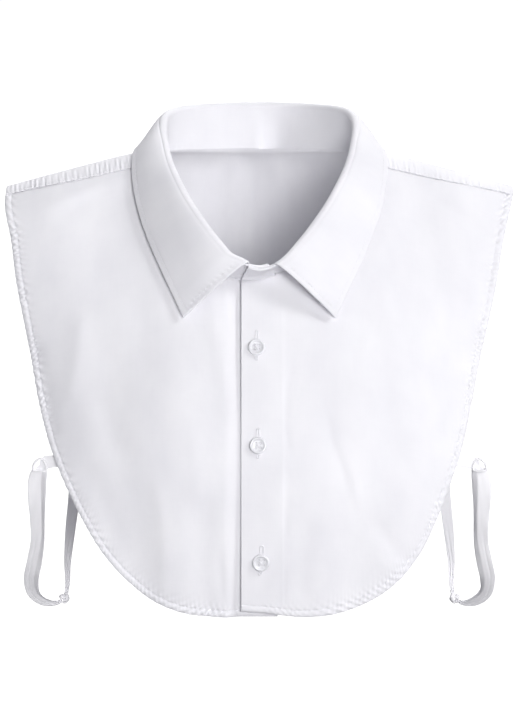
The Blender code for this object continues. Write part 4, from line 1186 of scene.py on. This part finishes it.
def makeButtonhole(name, x, z, tilt, halfWidth):
    # a ribbed tube round a long narrow slot, thicker at both ends, laid on the placket
    h = holeForm
    length = (h["above"] + h["below"]) / 2
    centre = (h["above"] - h["below"]) / 2
    t = circle(h["steps"])
    up = length * np.sign(np.sin(t)) * np.abs(np.sin(t)) ** 0.8
    across = halfWidth * np.sign(np.cos(t)) * np.abs(np.cos(t)) ** 0.35
    flatX = x + across + (up + centre) * tilt
    place, normal = placketPlace(flatX, z + centre + up)
    lengths = lengthsAlong(place)
    turns = 2.0 * math.pi * np.round(lengths[-1] / h["ribPitch"])
    ribs = 1.0 + h["ribs"] * np.sin(turns * lengths / lengths[-1])
    ends = 1.0 + 0.35 * bell(np.abs(up), length, 1.2)
    grid = tubeGrid(place + normal * 0.12, h["tube"] * ribs * ends, h["sides"], True)
    points, quads, uv = ringPart(grid, True, lengths, 0.3)
    points, quads = faceOut(points, quads)
    return finishPiece(addPiece(name, points, quads, cloth["sewingThread"], uv))


for number, (x, z) in enumerate(buttonForm["places"], 1):
    buttonPiece, buttonPoints, buttonPlace, buttonNormal = makeButton(f"button{number}", x, z)
    finishPiece(buttonPiece, [f"button_{number}"])
    makeButtonThread(f"buttonThread{number}", buttonPlace, buttonNormal)
    makeButtonhole(f"buttonhole{number}", x, z, holeForm["tilt"][number - 1], holeForm["halfWidth"][number - 1])
print("buttons and buttonholes made")

# floor, light and background
studio = {
    "floorHeight": -0.42, "floorHalf": 14.0,  # metres
    "floorColor": (0.33, 0.33, 0.34), "sky": 0.11, "skyColor": (0.88, 0.92, 1.0), "white": 1.3,
    "lamps": (  # name, watts, side in metres, distance in metres, azimuth to the right, elevation
        ("key", 56.0, 1.0, 3.0, 13.0, 8.0), ("side", 13.0, 0.5, 1.9, 58.0, 32.0),
        ("fill", 7.5, 1.2, 2.4, -46.0, 4.0), ("rim", 74.0, 2.4, 2.6, 180.0, 52.0),
    ),
    "lampColor": (1.0, 0.995, 0.99),
}


def whiteToCamera(tree, kind, strength, surface, output):
    # plain white on camera rays, the given surface on all others
    white = addNode(tree, kind, {"Strength": strength})
    ray = addNode(tree, "LightPath", {})
    mix = addNode(tree, "MixShader", {0: ray.outputs["Is Camera Ray"], 1: surface, 2: white.outputs[0]})
    tree.links.new(mix.outputs[0], tree.nodes[output].inputs["Surface"])


def makeFloor(values):
    # a flat square, near white to the camera and grey to the cloth above it
    h, z = values["floorHalf"] / mm, values["floorHeight"] / mm
    points = np.array([(-h, -h, z), (h, -h, z), (h, h, z), (-h, h, z)])
    material, tree, shader = newMaterial("paleFloor")
    setInputs(tree, shader, {"Base Color": (*values["floorColor"], 1.0), "Roughness": 0.9})
    whiteToCamera(tree, "Emission", values["white"], shader.outputs[0], "Material Output")
    addPiece("floor", points, np.array([[0, 1, 2, 3]]), material)


def addLamp(name, power, size, distance, azimuth, elevation, color):
    # a square lamp at the given distance from the middle of the object, turned to face it
    a, e = math.radians(azimuth), math.radians(elevation)
    toward = Vector((math.sin(a) * math.cos(e), -math.cos(a) * math.cos(e), math.sin(e)))
    lamp = bpy.data.objects.new(name, bpy.data.lights.new(name, "AREA"))
    lamp.data.energy = power
    lamp.data.size = size
    lamp.data.color = color
    lamp.location = Vector(lens["target"]) + toward * distance
    lamp.rotation_euler = toward.to_track_quat("Z", "Y").to_euler()
    bpy.context.scene.collection.objects.link(lamp)


def makeSky(values):
    # even light from all round; the camera sees it as plain white
    world = bpy.data.worlds.new("studio")
    bpy.context.scene.world = world
    world.use_nodes = True
    sky = setInputs(world.node_tree, world.node_tree.nodes["Background"], {
        "Color": (*values["skyColor"], 1.0), "Strength": values["sky"]})
    whiteToCamera(world.node_tree, "Background", values["white"], sky.outputs[0], "World Output")
    bpy.context.scene.view_settings.view_transform = "Standard"


makeFloor(studio)
for lamp in studio["lamps"]:
    addLamp(*lamp, studio["lampColor"])
makeSky(studio)
print("floor, lamps and sky made")
